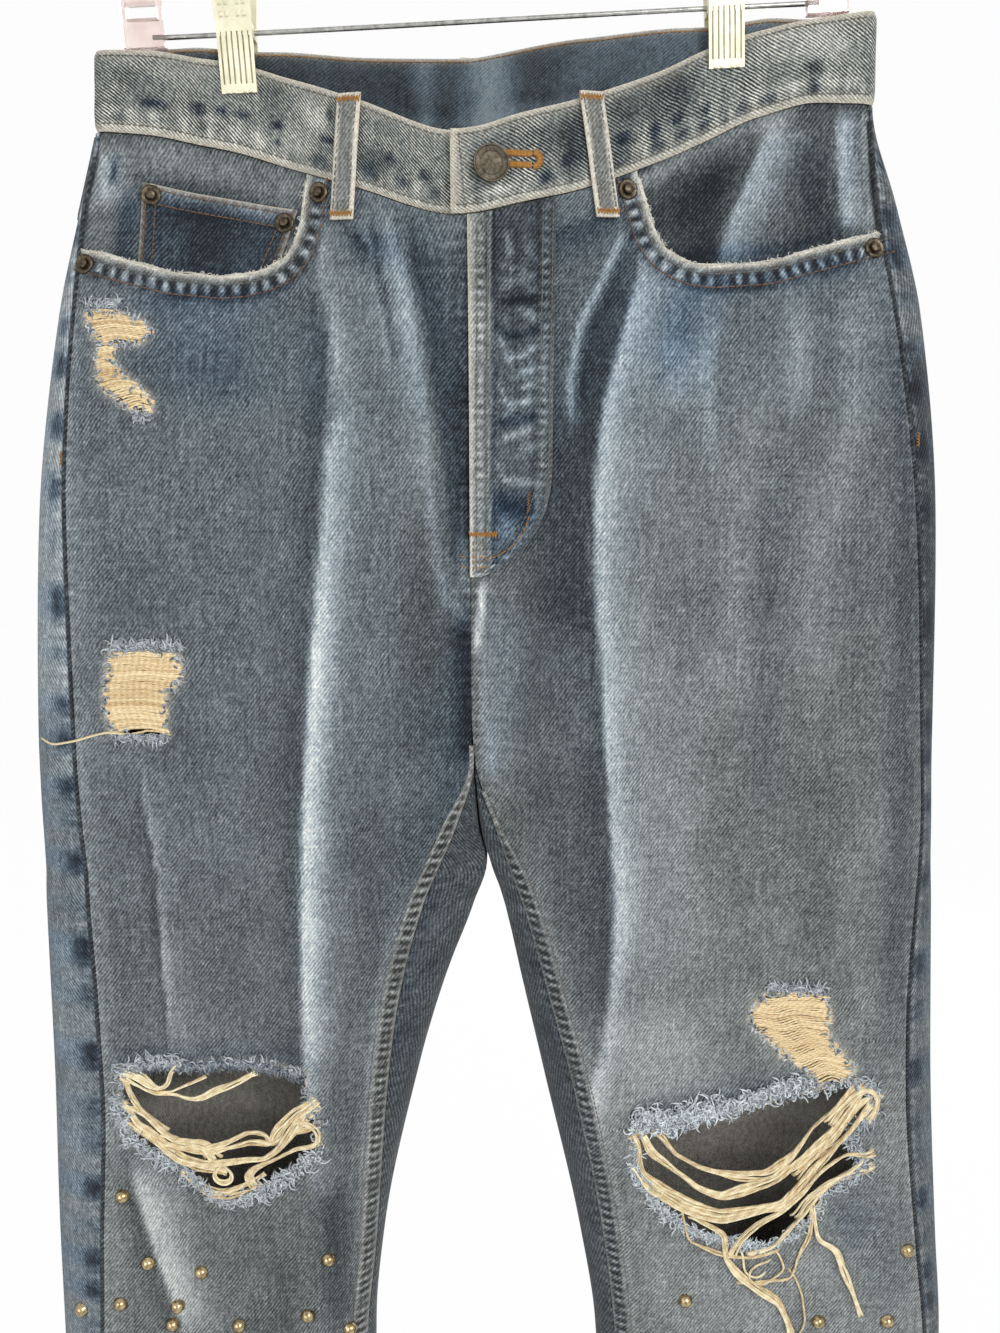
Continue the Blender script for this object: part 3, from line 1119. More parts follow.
def bandMiddle(layer, x, down):
    face = "back" if layer == "back" else "front"
    z = bandLine(face, "top", x) * (1 - down) + bandLine(face, "bottom", x) * down
    y = depthAt(face, x, z)
    apart = band["half"] + gap
    if layer == "under":
        y = y - apart * ease((x + 44) / 24)
    if layer == "over":
        y = y + apart * ease((44 - x) / 24)
    return np.stack([x + 0 * y, y if face == "back" else -y, z], -1)


def makeWaistband():
    outer = {side: float(section(side, "edge", -190.0)) for side in sections}
    part = (1 - np.cos(np.linspace(0, np.pi, 120))) / 2
    right, left = (outer[side] + (centre - outer[side]) * part * 0.9 for side in ("right", "left"))
    stations = [("under", np.linspace(20, right[-1], 18)[:-1]), ("under", right[::-1]),
                ("back", right[1:]), ("back", np.linspace(right[-1], left[-1], 18)[1:-1]), ("back", left[::-1]),
                ("over", left[1:]), ("over", np.linspace(left[-1], -15.0, 18)[1:])]
    rows = []
    for down in np.linspace(0, 1, band["rows"]):
        line = np.concatenate([bandMiddle(layer, x, down) for layer, x in stations])
        way = wayAlong(line)
        rows.append(readAlong(line, way, np.linspace(0, way[-1], band["columns"])))
    points = np.array(rows)
    x, y = points[..., 0], points[..., 1]
    length = way[-1]
    way = np.linspace(0, length, band["columns"])[None] + 0 * x
    fromTop = np.linspace(0, 1, band["rows"])[:, None] * band["height"] + 0 * x
    fromBottom = band["height"] - fromTop
    toEnd = length - way
    edgeRound = np.minimum(fromTop, fromBottom)
    pucker = np.sin(way * 2 * math.pi / 13 + 1.8 * np.sin(way / 29) + np.sin(way / 11)) * near(fromBottom, 9, 8)
    half = band["half"] * (0.35 + 0.65 * ease(edgeRound / 2.4)) + 0.2 * pucker - 0.2 * near(edgeRound, 3.4, 1.1)
    onFront = ease(-y / 2)
    front = band["fadeRight"] + (band["fadeLeft"] - band["fadeRight"]) * ease((x + 20) / 60)
    spots = np.zeros_like(x)
    for spotX, up, wide, tall, amount in bandSpots:
        away = ((x - spotX) / (0.9 * wide)) ** 2 + ((fromBottom - up + 0.12 * (x - spotX)) / (0.85 * tall)) ** 2
        spots = spots + 1.9 * amount * np.exp(-away ** 1.3) * onFront
    source = np.random.default_rng(17)
    for spotX in np.arange(-176, 180, 13.0):
        for low, high, small, large, most in ((7, 17, 2.0, 4.5, 0.26), (12, 34, 5.0, 12.0, 0.12)):
            up, size = source.uniform(low, high), source.uniform(small, large)
            bell = near(x, spotX, size) * near(fromBottom, up, 0.6 * size + 1.2)
            spots = spots + source.uniform(0.03, most) * bell * (1 - onFront)
    blue = np.clip(0.02 + 3.2 * np.maximum(spots - 0.16, 0), 0, 1)
    fade = front * onFront + band["fadeBack"] * (1 - onFront) - spots
    fade = fade + 0.09 * near(fromBottom, 7.5, 5) + 0.06 * pucker * onFront
    backMarks = 0.50 * near(x, 3, 13) + 0.28 * near(x, -30, 6) + 0.18 * ease((x - 20) / 30)
    fade = fade + backMarks * (1 - onFront) + 0.06 * near(x, 98, 30) * near(fromBottom, 20, 8) * onFront
    fade = fade + 0.28 * near(fromBottom, 1.6, 1.1) - 0.17 * near(fromBottom, 3.6, 0.8) + 0.10 * near(toEnd, 0, 5)
    edge = np.minimum(np.minimum(fromTop * 1.1 + 0.2, fromBottom * 1.2 + 0.3), np.minimum(toEnd, way) * 0.7)
    piece = clothSolid("waistband_cloth", points, gridQuads(*x.shape), half, [bandDenim, makeBandInside()],
                       cloth=(way, fromTop, 0), tone=(fade, blue, edge), seam=(np.abs(fromBottom - 4.5), way, 1.0))
    return handOver(piece, "denim_pale", "waistband")


def makeBandInside():
    look = dict(denimLook, warp=2.2, weft=1.7, streak=0.06, cloud=0.16, ladder=0.05)
    darker = [(place, np.array([0.52, 0.58, 0.64]) * colour) for place, colour in denimStops]
    return makeDenim("bandInside", look, darker)


# Cloth that lies on or behind the panels

def patchGrid(face, left, right, top, bottom, lift, rows, columns):
    down = np.linspace(0, 1, rows)[:, None]
    across = np.linspace(0, 1, columns)[None]
    x = left(down) * (1 - across) + right(down) * across
    z = top(across) * (1 - down) + bottom(across) * down
    points, _ = onCloth(face, x, z, lift)
    return points, across + 0 * down, down + 0 * across


def edgesOf(points, across, down):
    # distances in from the left, right, top and bottom edges
    wide = np.linalg.norm(np.diff(points, axis=1), axis=2).sum(1, keepdims=True)
    tall = np.linalg.norm(np.diff(points, axis=0), axis=2).sum(0, keepdims=True)
    return across * wide, (1 - across) * wide, down * tall, (1 - down) * tall


def layPatch(name, node, slot, points, half, fade, blue, edge, seam, materials=None):
    materials = materials or [trimDenim, reverseDenim]
    x, z = points[..., 0], points[..., 2]
    piece = clothSolid(name, points, gridQuads(*x.shape), half, materials, cloth=(x, z, 0),
                       tone=(fade, np.clip(blue, 0, 1), edge), seam=seam)
    return handOver(piece, slot, node)


facings = {
    "right": {"outer": -187, "lower": -199, "inner": -66, "low": -296, "lift": -3.8, "base": 0.45},
    "left": {"outer": 185, "lower": 196, "inner": 62, "low": -292, "lift": -2.4, "base": 0.30},
}
facingStrokes = {
    "right": (
        (((-182, -226), (-184, -250)), 4, 9, 0.16, 10, 0.3),
        (((-178, -228), (-180, -240)), 1.6, 2.2, -0.26, 6, 0.8),
        (((-170, -240), (-120, -248), (-84, -258)), 6, 6, -0.10, 20, 0.3, True),
        (((-172, -246), (-175, -282)), 5, 8, -0.16, 14, 0.8),
        (((-160, -226), (-120, -236)), 4, 6, 0.05, 30, 0, True),
    ),
    "left": (
        (((70, -244), (84, -234), (104, -222), (128, -212), (150, -207)), 6, 5, 0.18, 14, 0, True),
        (((132, -214), (146, -212)), 8, 8, 0.10, 10, 0, True),
        (((115, -278), (119, -262), (127, -244), (138, -216)), 2.2, 18, 0.25, 12, 0.6),
        (((104, -282), (108, -262), (114, -236)), 10, 8, -0.12, 14, 0.2),
        (((90, -262), (102, -246), (118, -232)), 12, 8, -0.10, 14, 0.2),
        (((158, -222), (160, -262)), 7, 7, -0.09, 16, 0.3),
        (((171, -208), (172, -236), (174, -262)), 2.5, 10, 0.27, 14, 0.6),
        (((184, -208), (187, -262)), 3, 3, 0.16, 10),
        (((80, -276), (140, -272), (172, -262)), 7, 4, -0.10, 24, 0.6, True),
    ),
}


def makeFacing(side):
    look = facings[side]
    grid = patchGrid(
        "front",
        lambda down: look["outer"] + (look["lower"] - look["outer"]) * np.minimum(1.0, 2 * down),
        lambda down: look["inner"] + 0 * down,
        lambda across: bandLine("front", "bottom", look["outer"] * (1 - across) + look["inner"] * across) + 3.2,
        lambda across: look["low"] + 0 * across,
        look["lift"], 34, 56)
    # it comes up to the side seam and to the band, and then goes in behind the band
    points, across, _ = grid
    x, z = points[..., 0], points[..., 2]
    under = bandLine("front", "bottom", x) - z
    rise = np.maximum(ease(1 - under / 16), ease(1 - across * 118 / 14)) * ease((under + 1.0) / 1.6)
    points[..., 1] += rise * (look["lift"] + 0.4)
    more, blueness = laid(x, z, facingStrokes[side])
    fade, blue = look["base"] - 0.02 + 1.3 * more, 0.12 + 0.6 * blueness
    left, _, top, _ = edgesOf(*grid)
    fade = fade - 0.12 * near(top, 4, 2.2)
    return layPatch("facing_" + side + "_cloth", "facing_" + side, "denim", points, clothHalf, fade, blue, 99,
                    (np.minimum(left, 99), z, 0.6), [denim, reverseDenim])


coin = {"left": -164, "leftSlant": -3, "right": -91, "rightSlant": -13, "top": -240, "topSlant": -12, "bottom": -291,
        "lift": -1.8, "base": 0.17}


def makeCoinPocket():
    grid = patchGrid(
        "front",
        lambda down: coin["left"] + coin["leftSlant"] * down,
        lambda down: coin["right"] + coin["rightSlant"] * down,
        lambda across: coin["top"] + coin["topSlant"] * across,
        lambda across: coin["bottom"] + 0 * across,
        coin["lift"], 26, 42)
    left, right, top, _ = edgesOf(*grid)
    sides = np.minimum(left, right)
    fade = coin["base"] + 0.22 * near(top, 3.5, 4.0) + 0.10 * near(sides, 0, 1.4)
    x, z = grid[0][..., 0], grid[0][..., 2]
    fade = fade - 0.08 * near(top, 11, 1.6) + 0.05 * np.sin(x / 6.5)
    half = clothHalf + 0.35 * ease((10 - top) / 1.5) + 0.2 * ease((8 - sides) / 1.5)
    return layPatch("coin_pocket_cloth", "coin_pocket", "denim_dark", grid[0], half, fade, 0.55,
                    np.minimum(top + 0.3, sides + 1.0), (np.minimum(top, sides), np.where(top < sides, x, z), 1.0))


fly = {"edge": -7.0, "width": 41.0, "height": 172.0, "roundFrom": 0.7, "lift": 2.4}
flyStrokes = (
    (((8, -281), (20, -284)), 1.2, 1.6, 0.18, 4, 0, True),
    (((20, -292), (27, -294)), 1.2, 1.6, 0.16, 4, 0, True),
    (((9, -321), (13, -328)), 1.0, 1.4, 0.20, 4, 0.3, True),
    (((18, -338), (27, -335)), 1.2, 1.6, 0.18, 4, 0.3, True),
    (((9, -350), (20, -353)), 1.2, 1.6, 0.16, 4, 0.3, True),
    (((17, -368), (27, -366)), 1.2, 1.6, 0.16, 4, 0.2, True),
    (((8, -400), (15, -405)), 1.4, 1.8, 0.16, 4, 0.4, True),
    (((20, -398), (27, -402)), 1.2, 1.4, 0.12, 4, 0.3, True),
    (((11, -266), (13, -278)), 1.4, 1.8, 0.20, 4),
    (((19, -270), (27, -280)), 1.6, 1.8, 0.16, 5, 0, True),
    (((8, -290), (24, -286)), 1.8, 1.6, 0.22, 6, 0, True),
    (((8, -298), (26, -296)), 2.6, 2.0, -0.16, 6, 0.3, True),
    (((15, -300), (27, -306)), 1.6, 2.0, 0.22, 5, 0, True),
    (((7, -313), (14, -324), (26, -318)), 1.6, 1.6, 0.24, 5, 0.3, True),
    (((5, -308), (14, -313), (27, -310)), 2.4, 2.0, -0.14, 6, 0.5, True),
    (((15, -332), (26, -328)), 1.8, 1.8, 0.22, 5, 0.5, True),
    (((7, -334), (13, -346), (24, -343)), 1.4, 1.6, 0.26, 5, 0.5, True),
    (((6, -354), (26, -351)), 3.0, 2.4, -0.16, 6, 0.5, True),
    (((9, -362), (24, -357)), 1.8, 2.2, 0.20, 5, 0, True),
    (((6, -373), (12, -382), (28, -382)), 1.2, 1.3, 0.26, 5, 0.2, True),
    (((6, -393), (25, -396)), 6, 6, -0.16, 6, 0.8, True),
    (((9, -406), (18, -412)), 2.0, 2.6, 0.16, 8, 0.6, True),
    (((16, -262), (15, -300), (17, -350)), 1.2, 1.6, -0.08, 10),
)


def flyInner(down):
    bend = np.clip((down - fly["roundFrom"]) / (1 - fly["roundFrom"]), 0, 1)
    return fly["edge"] + fly["width"] * np.sqrt(np.maximum(0.02, 1 - bend ** 2))


def makeFly():
    grid = patchGrid(
        "front",
        lambda down: fly["edge"] + 0 * down,
        flyInner,
        lambda across: bandLine("front", "bottom", fly["edge"] + across * fly["width"]) - 0.9,
        lambda across: float(bandLine("front", "bottom", centre)) - fly["height"] + 0 * across,
        fly["lift"], 74, 26)
    x, z = grid[0][..., 0], grid[0][..., 2]
    left, right, _, _ = edgesOf(*grid)
    more, blueness = laid(x, z, flyStrokes)
    pucker = more * ease((left - 10) / 3) * ease((right - 1.5) / 3)
    fade, blue = 0.25 + 0.10 * ease((-285 - z) / 30) + 1.35 * pucker, 0.3 + 0.6 * blueness
    # the folded edge strip, its pale ridge, and the dark stitched J
    fade = fade + 0.20 * ease((9.5 - left) / 1.5)
    for distance, at, width, amount in ((left, 10.6, 0.9, 0.26), (left, 12.4, 0.9, -0.16), (left, 0.6, 0.9, 0.26),
                                        (left, 8.2, 1.0, -0.10), (right, 8.6, 1.2, -0.10), (right, 0.9, 0.9, -0.08),
                                        (right, 4.4, 2.0, 0.08)):
        fade = fade + amount * near(distance, at, width)
    blue = (blue + 0.3 * ease((-380 - z) / 20)) * (1 - 0.8 * ease((11.5 - left) / 1.5))
    half = clothHalf + 0.3 * near(left, 10.0, 1.2) + 0.25 * ease((9 - left) / 1.0)
    half = half + 1.6 * np.maximum(pucker, -0.1)
    beside = 0.8 * np.minimum(np.abs(left - 5.0), np.abs(right - 4.6))
    return layPatch("fly_cloth", "fly_band", "denim", grid[0], half, fade, blue, np.minimum(left + 0.4, right + 2.5),
                    (beside, z, 0.75 + 0.35 * np.sin(z / 7 + 2 * np.sin(z / 19))))


backPockets = {
    "halfTop": 74, "halfBottom": 62, "top": -308, "sideBottom": -442, "point": 20, "base": 0.40, "lift": 2.7,
    "places": {"right": (-104, -6), "left": (98, 6)},  # middle, and how far the left end is over the right
}


def makeBackPocket(side):
    middle, slope = backPockets["places"][side]
    narrow = backPockets["halfTop"] - backPockets["halfBottom"]
    grid = patchGrid(
        "back",
        lambda down: middle - backPockets["halfTop"] + narrow * down,
        lambda down: middle + backPockets["halfTop"] - narrow * down,
        lambda across: backPockets["top"] + slope * (across - 0.5),
        lambda across: backPockets["sideBottom"] - backPockets["point"] * (1 - np.abs(2 * across - 1)),
        backPockets["lift"], 52, 52)
    points, across, down = grid
    left, right, top, bottom = edgesOf(*grid)
    border = np.minimum(np.minimum(left, right), bottom)
    fade = backPockets["base"] + 0.14 * near(across, 0.5, 0.3) * near(down, 0.45, 0.35)
    fade = fade + 0.16 * near(border, 0, 1.6) + 0.12 * near(top, 2, 3) - 0.10 * near(top, 18, 2)
    half = clothHalf + 0.4 * ease((17 - top) / 1.5) + 0.3 * ease((9 - border) / 1.5)
    run = np.where(bottom < np.minimum(left, right), points[..., 0], points[..., 2])
    return layPatch("back_pocket_" + side + "_cloth", "back_pocket_" + side, "denim_dark", points, half, fade, 0.4,
                    np.minimum(border + 0.5, top + 0.3), (border, run, 1.2))


beltLoops = {
    "width": 11.0, "half": 1.0, "over": 1.0, "under": 17.5, "bow": 0.9,
    # face, x at the top, how far the foot leans, and the space left over the band
    "places": {
        "loop_front_right": ("front", -62, -5, 0.6), "loop_front_left": ("front", 50, 9, 0.6),
        "loop_side_right": ("back", -156, 0, 0.6), "loop_side_left": ("back", 154, 0, 0.6),
        "loop_back": ("back", centre, 0, 0.3),
    },
}


def makeLoop(name):
    face, x, lean, space = beltLoops["places"][name]
    halfWidth = beltLoops["width"] / 2
    grid = patchGrid(
        face,
        lambda down: x + lean * down - halfWidth,
        lambda down: x + lean * down + halfWidth,
        lambda across: float(bandLine(face, "top", x)) + beltLoops["over"] + 0 * across,
        lambda across: float(bandLine(face, "bottom", x + lean)) - beltLoops["under"] + 0 * across,
        band["half"] + beltLoops["half"] + space, 26, 13)
    left, right, top, bottom = edgesOf(*grid)
    sides = np.minimum(left, right)
    ends = np.minimum(top, bottom)
    fade = 0.45 + 0.32 * near(sides, 1.2, 1.3) - 0.16 * near(sides, 3.4, 0.8) + 0.08 * near(ends, 0, 2.5)
    half = beltLoops["half"] * (0.45 + 0.55 * ease(sides / 1.6)) + 0.15 * near(sides, 1.8, 1.2)
    points = grid[0]
    if face == "front":
        points[..., 1] -= beltLoops["bow"] * np.sin(np.pi * np.clip((top - 4) / 34, 0, 1))
    return layPatch(name + "_cloth", name, "denim_pale", points, half, fade, 0.02, 0.6 * np.minimum(sides, ends),
                    (sides, points[..., 2], 0.8))


# side, column, top and bottom z, how far in from the join, width, fade, blue, ladder strength, how far it stands
seamStrips = {
    "inseam_right": ("right", "inseam", -516, -1222, -0.8, 8.2, 0.40, 0.0, 1.6, 0.85),
    "inseam_left": ("left", "inseam", -540, -1222, -0.8, 8.6, 0.36, 0.15, 1.7, 0.85),
    "side_seam_right": ("right", "seam", -228, -1222, -0.9, 2.4, 0.20, 0.2, 0.2, 0.6),
    "side_seam_left": ("left", "seam", -212, -1222, -0.9, 2.4, 0.16, 0.15, 0.25, 0.6),
}


def makeSeamStrip(name):
    # the felled or busted seam, a narrow raised strip over the join of two panels
    side, column, top, bottom, start, width, base, blueness, strength, stand = seamStrips[name]
    wide = column == "inseam"
    inward = (1 if side == "right" else -1) * (-1 if wide else 1)
    z = np.linspace(top, bottom, int((top - bottom) / 3.2))[:, None]
    across = np.linspace(0, 1, 9 if wide else 6)[None]
    grown = width * (0.25 + 0.75 * ease((top - 10 - z) / 40) if wide else 1 + 0 * z)
    x = section(side, column, z) + inward * (start + grown * across)
    bow = np.sin(np.pi * across) ** 0.6
    points, _ = onCloth("front", x, z + 0 * across, 0.15 + stand * bow + 0 * z)
    sides = np.minimum(across, 1 - across) * grown
    fade, edge = base, 99
    if wide:
        uneven = 0.5 + 0.5 * np.sin(z / 9 + 1.5 * np.sin(z / 31))
        fade = base + 0.13 * near(sides, 0.9, 0.7) * (0.4 + 0.6 * uneven) - 0.14 * near(sides, 2.6, 0.8)
        edge = sides + 1.7
    piece = clothSolid(name + "_fell", points, gridQuads(*x.shape), 0.30 + 0.15 * bow, [trimDenim, reverseDenim],
                       cloth=(x, z, 0), tone=(fade, blueness, edge),
                       seam=(0.7 * np.abs(sides - width / 2), -z, strength))
    return handOver(piece, "denim")


print("cloth panels")
clothPieces = []
for side in ("right", "left"):
    for make in (makeFront, makeBack, makeYoke, makeHem, makeFacing, makeBackPocket):
        clothPieces.append(make(side))
clothPieces += [makeWaistband(), makeCoinPocket(), makeFly()]
clothPieces += [makeLoop(name) for name in beltLoops["places"]]
clothPieces += [makeSeamStrip(name) for name in seamStrips]
for piece in clothPieces:
    print("  ", piece.name, len(piece.data.polygons), "faces")


# Yarn left across the knee rips: each route in x and z, how many yarns lie side by side and how far
# they stand out, and their spacing where it isn't the usual one

knees = {
    "threads_right_1": (
        (((-194, -690), (-190, -691), (-183, -695), (-178, -701), (-173, -703), (-169, -700), (-167, -692),
          (-161, -687)), 6, 1.6),
        (((-195, -694), (-191, -695), (-183, -701), (-176, -706), (-165, -706), (-158, -708), (-151, -707),
          (-143, -702), (-124, -693), (-120, -690)), 4, 1),
        (((-176, -704), (-168, -705), (-157, -699), (-148, -694)), 2, 1.4),
        (((-195, -694), (-191, -696), (-188, -705), (-182, -717), (-175, -726), (-168, -734), (-157, -734),
          (-150, -734), (-144, -743)), 7, 1.2),
        (((-196, -704), (-190, -712), (-182, -716), (-177, -722), (-171, -728)), 3, 0.6),
    ),
    "threads_right_2": (
        (((-194, -709), (-190, -713), (-187, -721), (-180, -726), (-173, -736), (-163, -744), (-151, -746),
          (-141, -744), (-129, -742), (-117, -740), (-108, -731), (-98, -716), (-91, -709), (-87, -706)), 7, 1.8),
        (((-178, -728), (-172, -733), (-159, -738), (-150, -738), (-139, -733), (-126, -725), (-116, -725),
          (-114, -732), (-110, -723), (-101, -712), (-95, -708), (-88, -703)), 8, 0.9),
        (((-152, -741), (-135, -735), (-124, -731), (-115, -732), (-104, -724), (-92, -719), (-87, -716)), 5, 0.3),
        (((-87, -727), (-90, -729), (-100, -732), (-112, -740), (-125, -747), (-129, -753), (-124, -756),
          (-122, -760)), 7, 1.4),
        (((-165, -751), (-161, -754), (-156, -760), (-143, -762), (-132, -758), (-125, -755), (-118, -750)), 4, 1),
        (((-158, -757), (-150, -764), (-138, -764), (-128, -760), (-121, -757)), 3, 1.6),
        (((-141, -747), (-146, -749), (-146, -754), (-141, -756), (-136, -754), (-136, -749), (-141, -747)), 4, 2),
        (((-194, -718), (-190, -722), (-182, -729), (-174, -737), (-165, -745), (-155, -748), (-145, -748),
          (-139, -750)), 5, 0.8),
        (((-102, -718), (-97, -714), (-91, -717), (-88, -722), (-89, -729)), 3, 2.2),
    ),
    "threads_left_1": (
        (((104, -721), (110, -718), (125, -714), (137, -712), (147, -711), (153, -707)), 4, 0.6),
        (((87, -722), (93, -727), (102, -739), (117, -748), (136, -752), (153, -751), (166, -739), (175, -724),
          (188, -711), (196, -700), (199, -695)), 6, 0.9),
        (((79, -720), (83, -724), (89, -738), (102, -748), (115, -759), (128, -764), (141, -759), (156, -754),
          (172, -740), (185, -728), (197, -712), (209, -703)), 7, 1.6),
        (((166, -752), (178, -738), (190, -722), (198, -706), (201, -697)), 6, 2.2),
        (((160, -751), (176, -742), (190, -732), (203, -716), (209, -708)), 4, 1.2),
        (((184, -722), (190, -712), (196, -703), (204, -700), (209, -706), (208, -714), (203, -721)), 6, 2.4),
    ),
    "threads_left_2": (
        (((78, -727), (81, -731), (84, -749), (97, -761), (109, -770), (128, -776), (148, -771), (161, -769),
          (173, -754), (180, -743), (194, -727), (206, -711), (209, -704)), 11, 1.8),
        (((78, -744), (82, -749), (89, -761), (103, -770), (118, -777), (132, -779)), 5, 1.2),
        (((209, -745), (205, -747), (190, -753), (181, -761), (174, -773), (162, -787), (157, -794), (143, -800)), 6,
         1.8),
        (((209, -738), (206, -740), (194, -738), (183, -746), (171, -761), (161, -772), (149, -779), (137, -791),
          (133, -802)), 5, 2.4),
        (((112, -775), (117, -779), (130, -786), (131, -801), (138, -811), (151, -821), (161, -828), (168, -843),
          (172, -862)), 7, 2.2, 0.75),
        (((106, -770), (108, -777), (110, -791), (120, -795), (130, -800), (145, -801), (160, -797)), 2, 1.8),
        (((158, -796), (160, -798), (164, -808), (153, -818), (144, -814), (146, -806), (156, -803)), 1, 2.4),
        (((138, -817), (153, -815), (167, -814), (171, -801), (176, -790), (177, -777), (176, -768)), 2, 2),
        (((166, -808), (169, -812), (174, -825), (176, -840), (171, -858)), 1, 1.8),
        (((176, -770), (178, -776), (181, -790), (191, -795), (196, -808), (201, -821), (207, -838)), 5, 2.2, 0.7),
        (((139, -795), (141, -800), (142, -809), (148, -814), (154, -811)), 1, 2.2),
        (((204, -742), (196, -749), (184, -755), (174, -765), (168, -777)), 4, 3),
    ),
}


yarnLook = {"radius": 0.64, "width": 0.84, "pitch": 1.9}


def kneeYarns(name):
    source = np.random.default_rng(sum(ord(letter) for letter in name))
    paths, shades = [], []
    for route, count, rise, *spread in knees[name]:
        line = rounded(route, yarnLook["pitch"], passes=4)
        step = unit(np.gradient(line, axis=0))
        sideways = np.column_stack([-step[:, 1], step[:, 0]])
        way = np.arange(len(line)) * yarnLook["pitch"]
        t = np.linspace(0, 1, len(line))
        width = spread[0] if spread else yarnLook["width"]
        turn = 0.9 * np.sin(way / source.uniform(16, 26) + source.uniform(0, 6)) + source.uniform(-0.3, 0.3)
        pinch = 0.72 + 0.28 * np.sin(way / source.uniform(9, 15) + source.uniform(0, 6))
        ends = np.sin(np.pi * t) ** 0.35
        for k in range(count):
            own = (k - (count - 1) / 2) * width
            drift = 0.55 * np.sin(way / source.uniform(7, 14) + source.uniform(0, 6))
            drift = drift + 0.3 * np.sin(way / 4.1 + source.uniform(0, 6))
            across = (own * np.cos(turn) + drift) * pinch
            fan = 1 + 0.9 * (1 - np.minimum(ends * 1.3, 1))
            place = line + sideways * (across * fan)[:, None]
            out = rise + own * np.sin(turn) * pinch + 0.4 * np.sin(way / 6.3 + source.uniform(0, 6))
            out = np.clip(out, -1.0 if rise < 1 else 0.2, 5.5) * ends + 0.2 * (1 - ends)
            points, _ = onCloth("front", place[:, 0], place[:, 1], out)
            paths.append(points)
            shades.append(float(source.uniform(0.2, 1.0)))
    piece = tubes(name + "_yarns", paths, yarnLook["radius"], 6, creamYarn, shades)
    handOver(piece, "weft_yarn", name)


def crossings(outline, z):
    hits = []
    for (ax, az), (bx, bz) in zip(outline, np.roll(outline, -1, 0)):
        if (az > z) != (bz > z):
            hits.append(ax + (bx - ax) * (z - az) / (bz - az))
    return sorted(hits)


patchLook = {"pitch": 0.98, "radius": 0.62, "under": 1.6}


def patchYarns(side):
    # weft yarns that stay where the blue warp has worn away
    source = np.random.default_rng(21 if side == "right" else 22)
    paths, shades = [], []
    for name, outline in wornPatches[side].items():
        outline = np.asarray(outline, float)
        loose = name == "knee"
        low, high = outline[:, 1].min(), outline[:, 1].max()
        tall = high - low
        z = high - 0.05
        while z > low:
            hits = crossings(outline, z)
            for first, last in zip(hits[::2], hits[1::2]):
                x = np.arange(first - patchLook["under"], last + patchLook["under"] + 1.3, 1.5)
                wave = 0.5 * np.sin(x / 4.6 + z / 11) + 0.5 * np.sin(x / 9 + z / 17 + 1)
                arch = np.sin(np.pi * np.clip((x - x[0]) / (x[-1] - x[0]), 0, 1))
                bow = (0.3 + 2.6 * min(1.0, (high - z) / tall)) * arch ** 1.3 * min(1.0, (last - first) / 22)
                if loose:
                    wave = wave * 2.0 + 0.7 * np.sin(x / 3.1 + z / 5)
                bend = wave * arch ** 0.5 + bow + source.normal(0, 0.10, len(x))
                out = (0.35 + 0.35 * np.sin(x / 2.3 + z)) * arch ** 0.4
                points, _ = onCloth("front", x, z + bend, out)
                paths.append(points)
                shades.append(float(source.uniform(0.1, 1.0)))
                if source.random() < 0.25:
                    points, _ = onCloth("front", x, z + bend + 0.6, out + 0.6 * arch)
                    paths.append(points)
                    shades.append(float(source.uniform(0.3, 1.0)))
            z -= patchLook["pitch"] * (1.2 if loose else 1.0) * source.uniform(0.8, 1.15)
    if side == "right":
        line = rounded(((-180, -507), (-188, -506), (-196, -508), (-205, -511), (-218, -514), (-226, -512)), 1.6)
        points, _ = onCloth("front", line[:, 0], line[:, 1], 1.2 + 0.4 * np.sin(np.arange(len(line)) / 3))
        paths.append(points)
        shades.append(0.9)
    piece = tubes("patch_yarns_" + side, paths, patchLook["radius"], 5, patchYarn, shades)
    handOver(piece, "weft_yarn")


frayTaper = np.array([0.50, 0.58, 0.58, 0.54, 0.48, 0.38, 0.16])


def frayPaths(line, density, length, source, closed=True, lean=(0, 0), back=2.6, fore=1.2, curl=1.1, up=0.9):
    # curled warp ends along a torn edge
    line = resample(line, 0.5, closed)
    count = int(len(line) * 0.5 * density)
    k = source.integers(0, len(line), count)
    step = unit((np.roll(line, -1, 0) - np.roll(line, 1, 0))[k])
    side = np.column_stack([step[:, 1], -step[:, 0]])
    start = line[k] + side * source.uniform(-back, fore, (count, 1))
    heading = np.arctan2(side[:, 1], side[:, 0]) + np.pi * (source.random(count) < 0.5)
    heading = heading + source.normal(0, 0.75, count)
    if lean != (0, 0):
        heading = math.atan2(lean[1], lean[0]) + source.normal(0, 0.55, count)
    size = length * source.uniform(0.55, 1.25, count)
    bend = source.normal(0, curl, count)
    places = [start]
    parts = len(frayTaper) - 1
    for n in range(parts):
        turned = heading + bend * n * 0.7
        places.append(places[-1] + np.column_stack([np.cos(turned), np.sin(turned)]) * (size / parts)[:, None])
    places = np.stack(places, 1)
    t = np.linspace(0, 1, len(frayTaper))[None]
    lift = 0.35 + up * np.sin(np.pi * t * 0.8) * source.uniform(0.4, 1.5, (count, 1)) + 0.35 * t
    spots, _ = onCloth("front", places[..., 0], places[..., 1], lift)
    return list(spots)


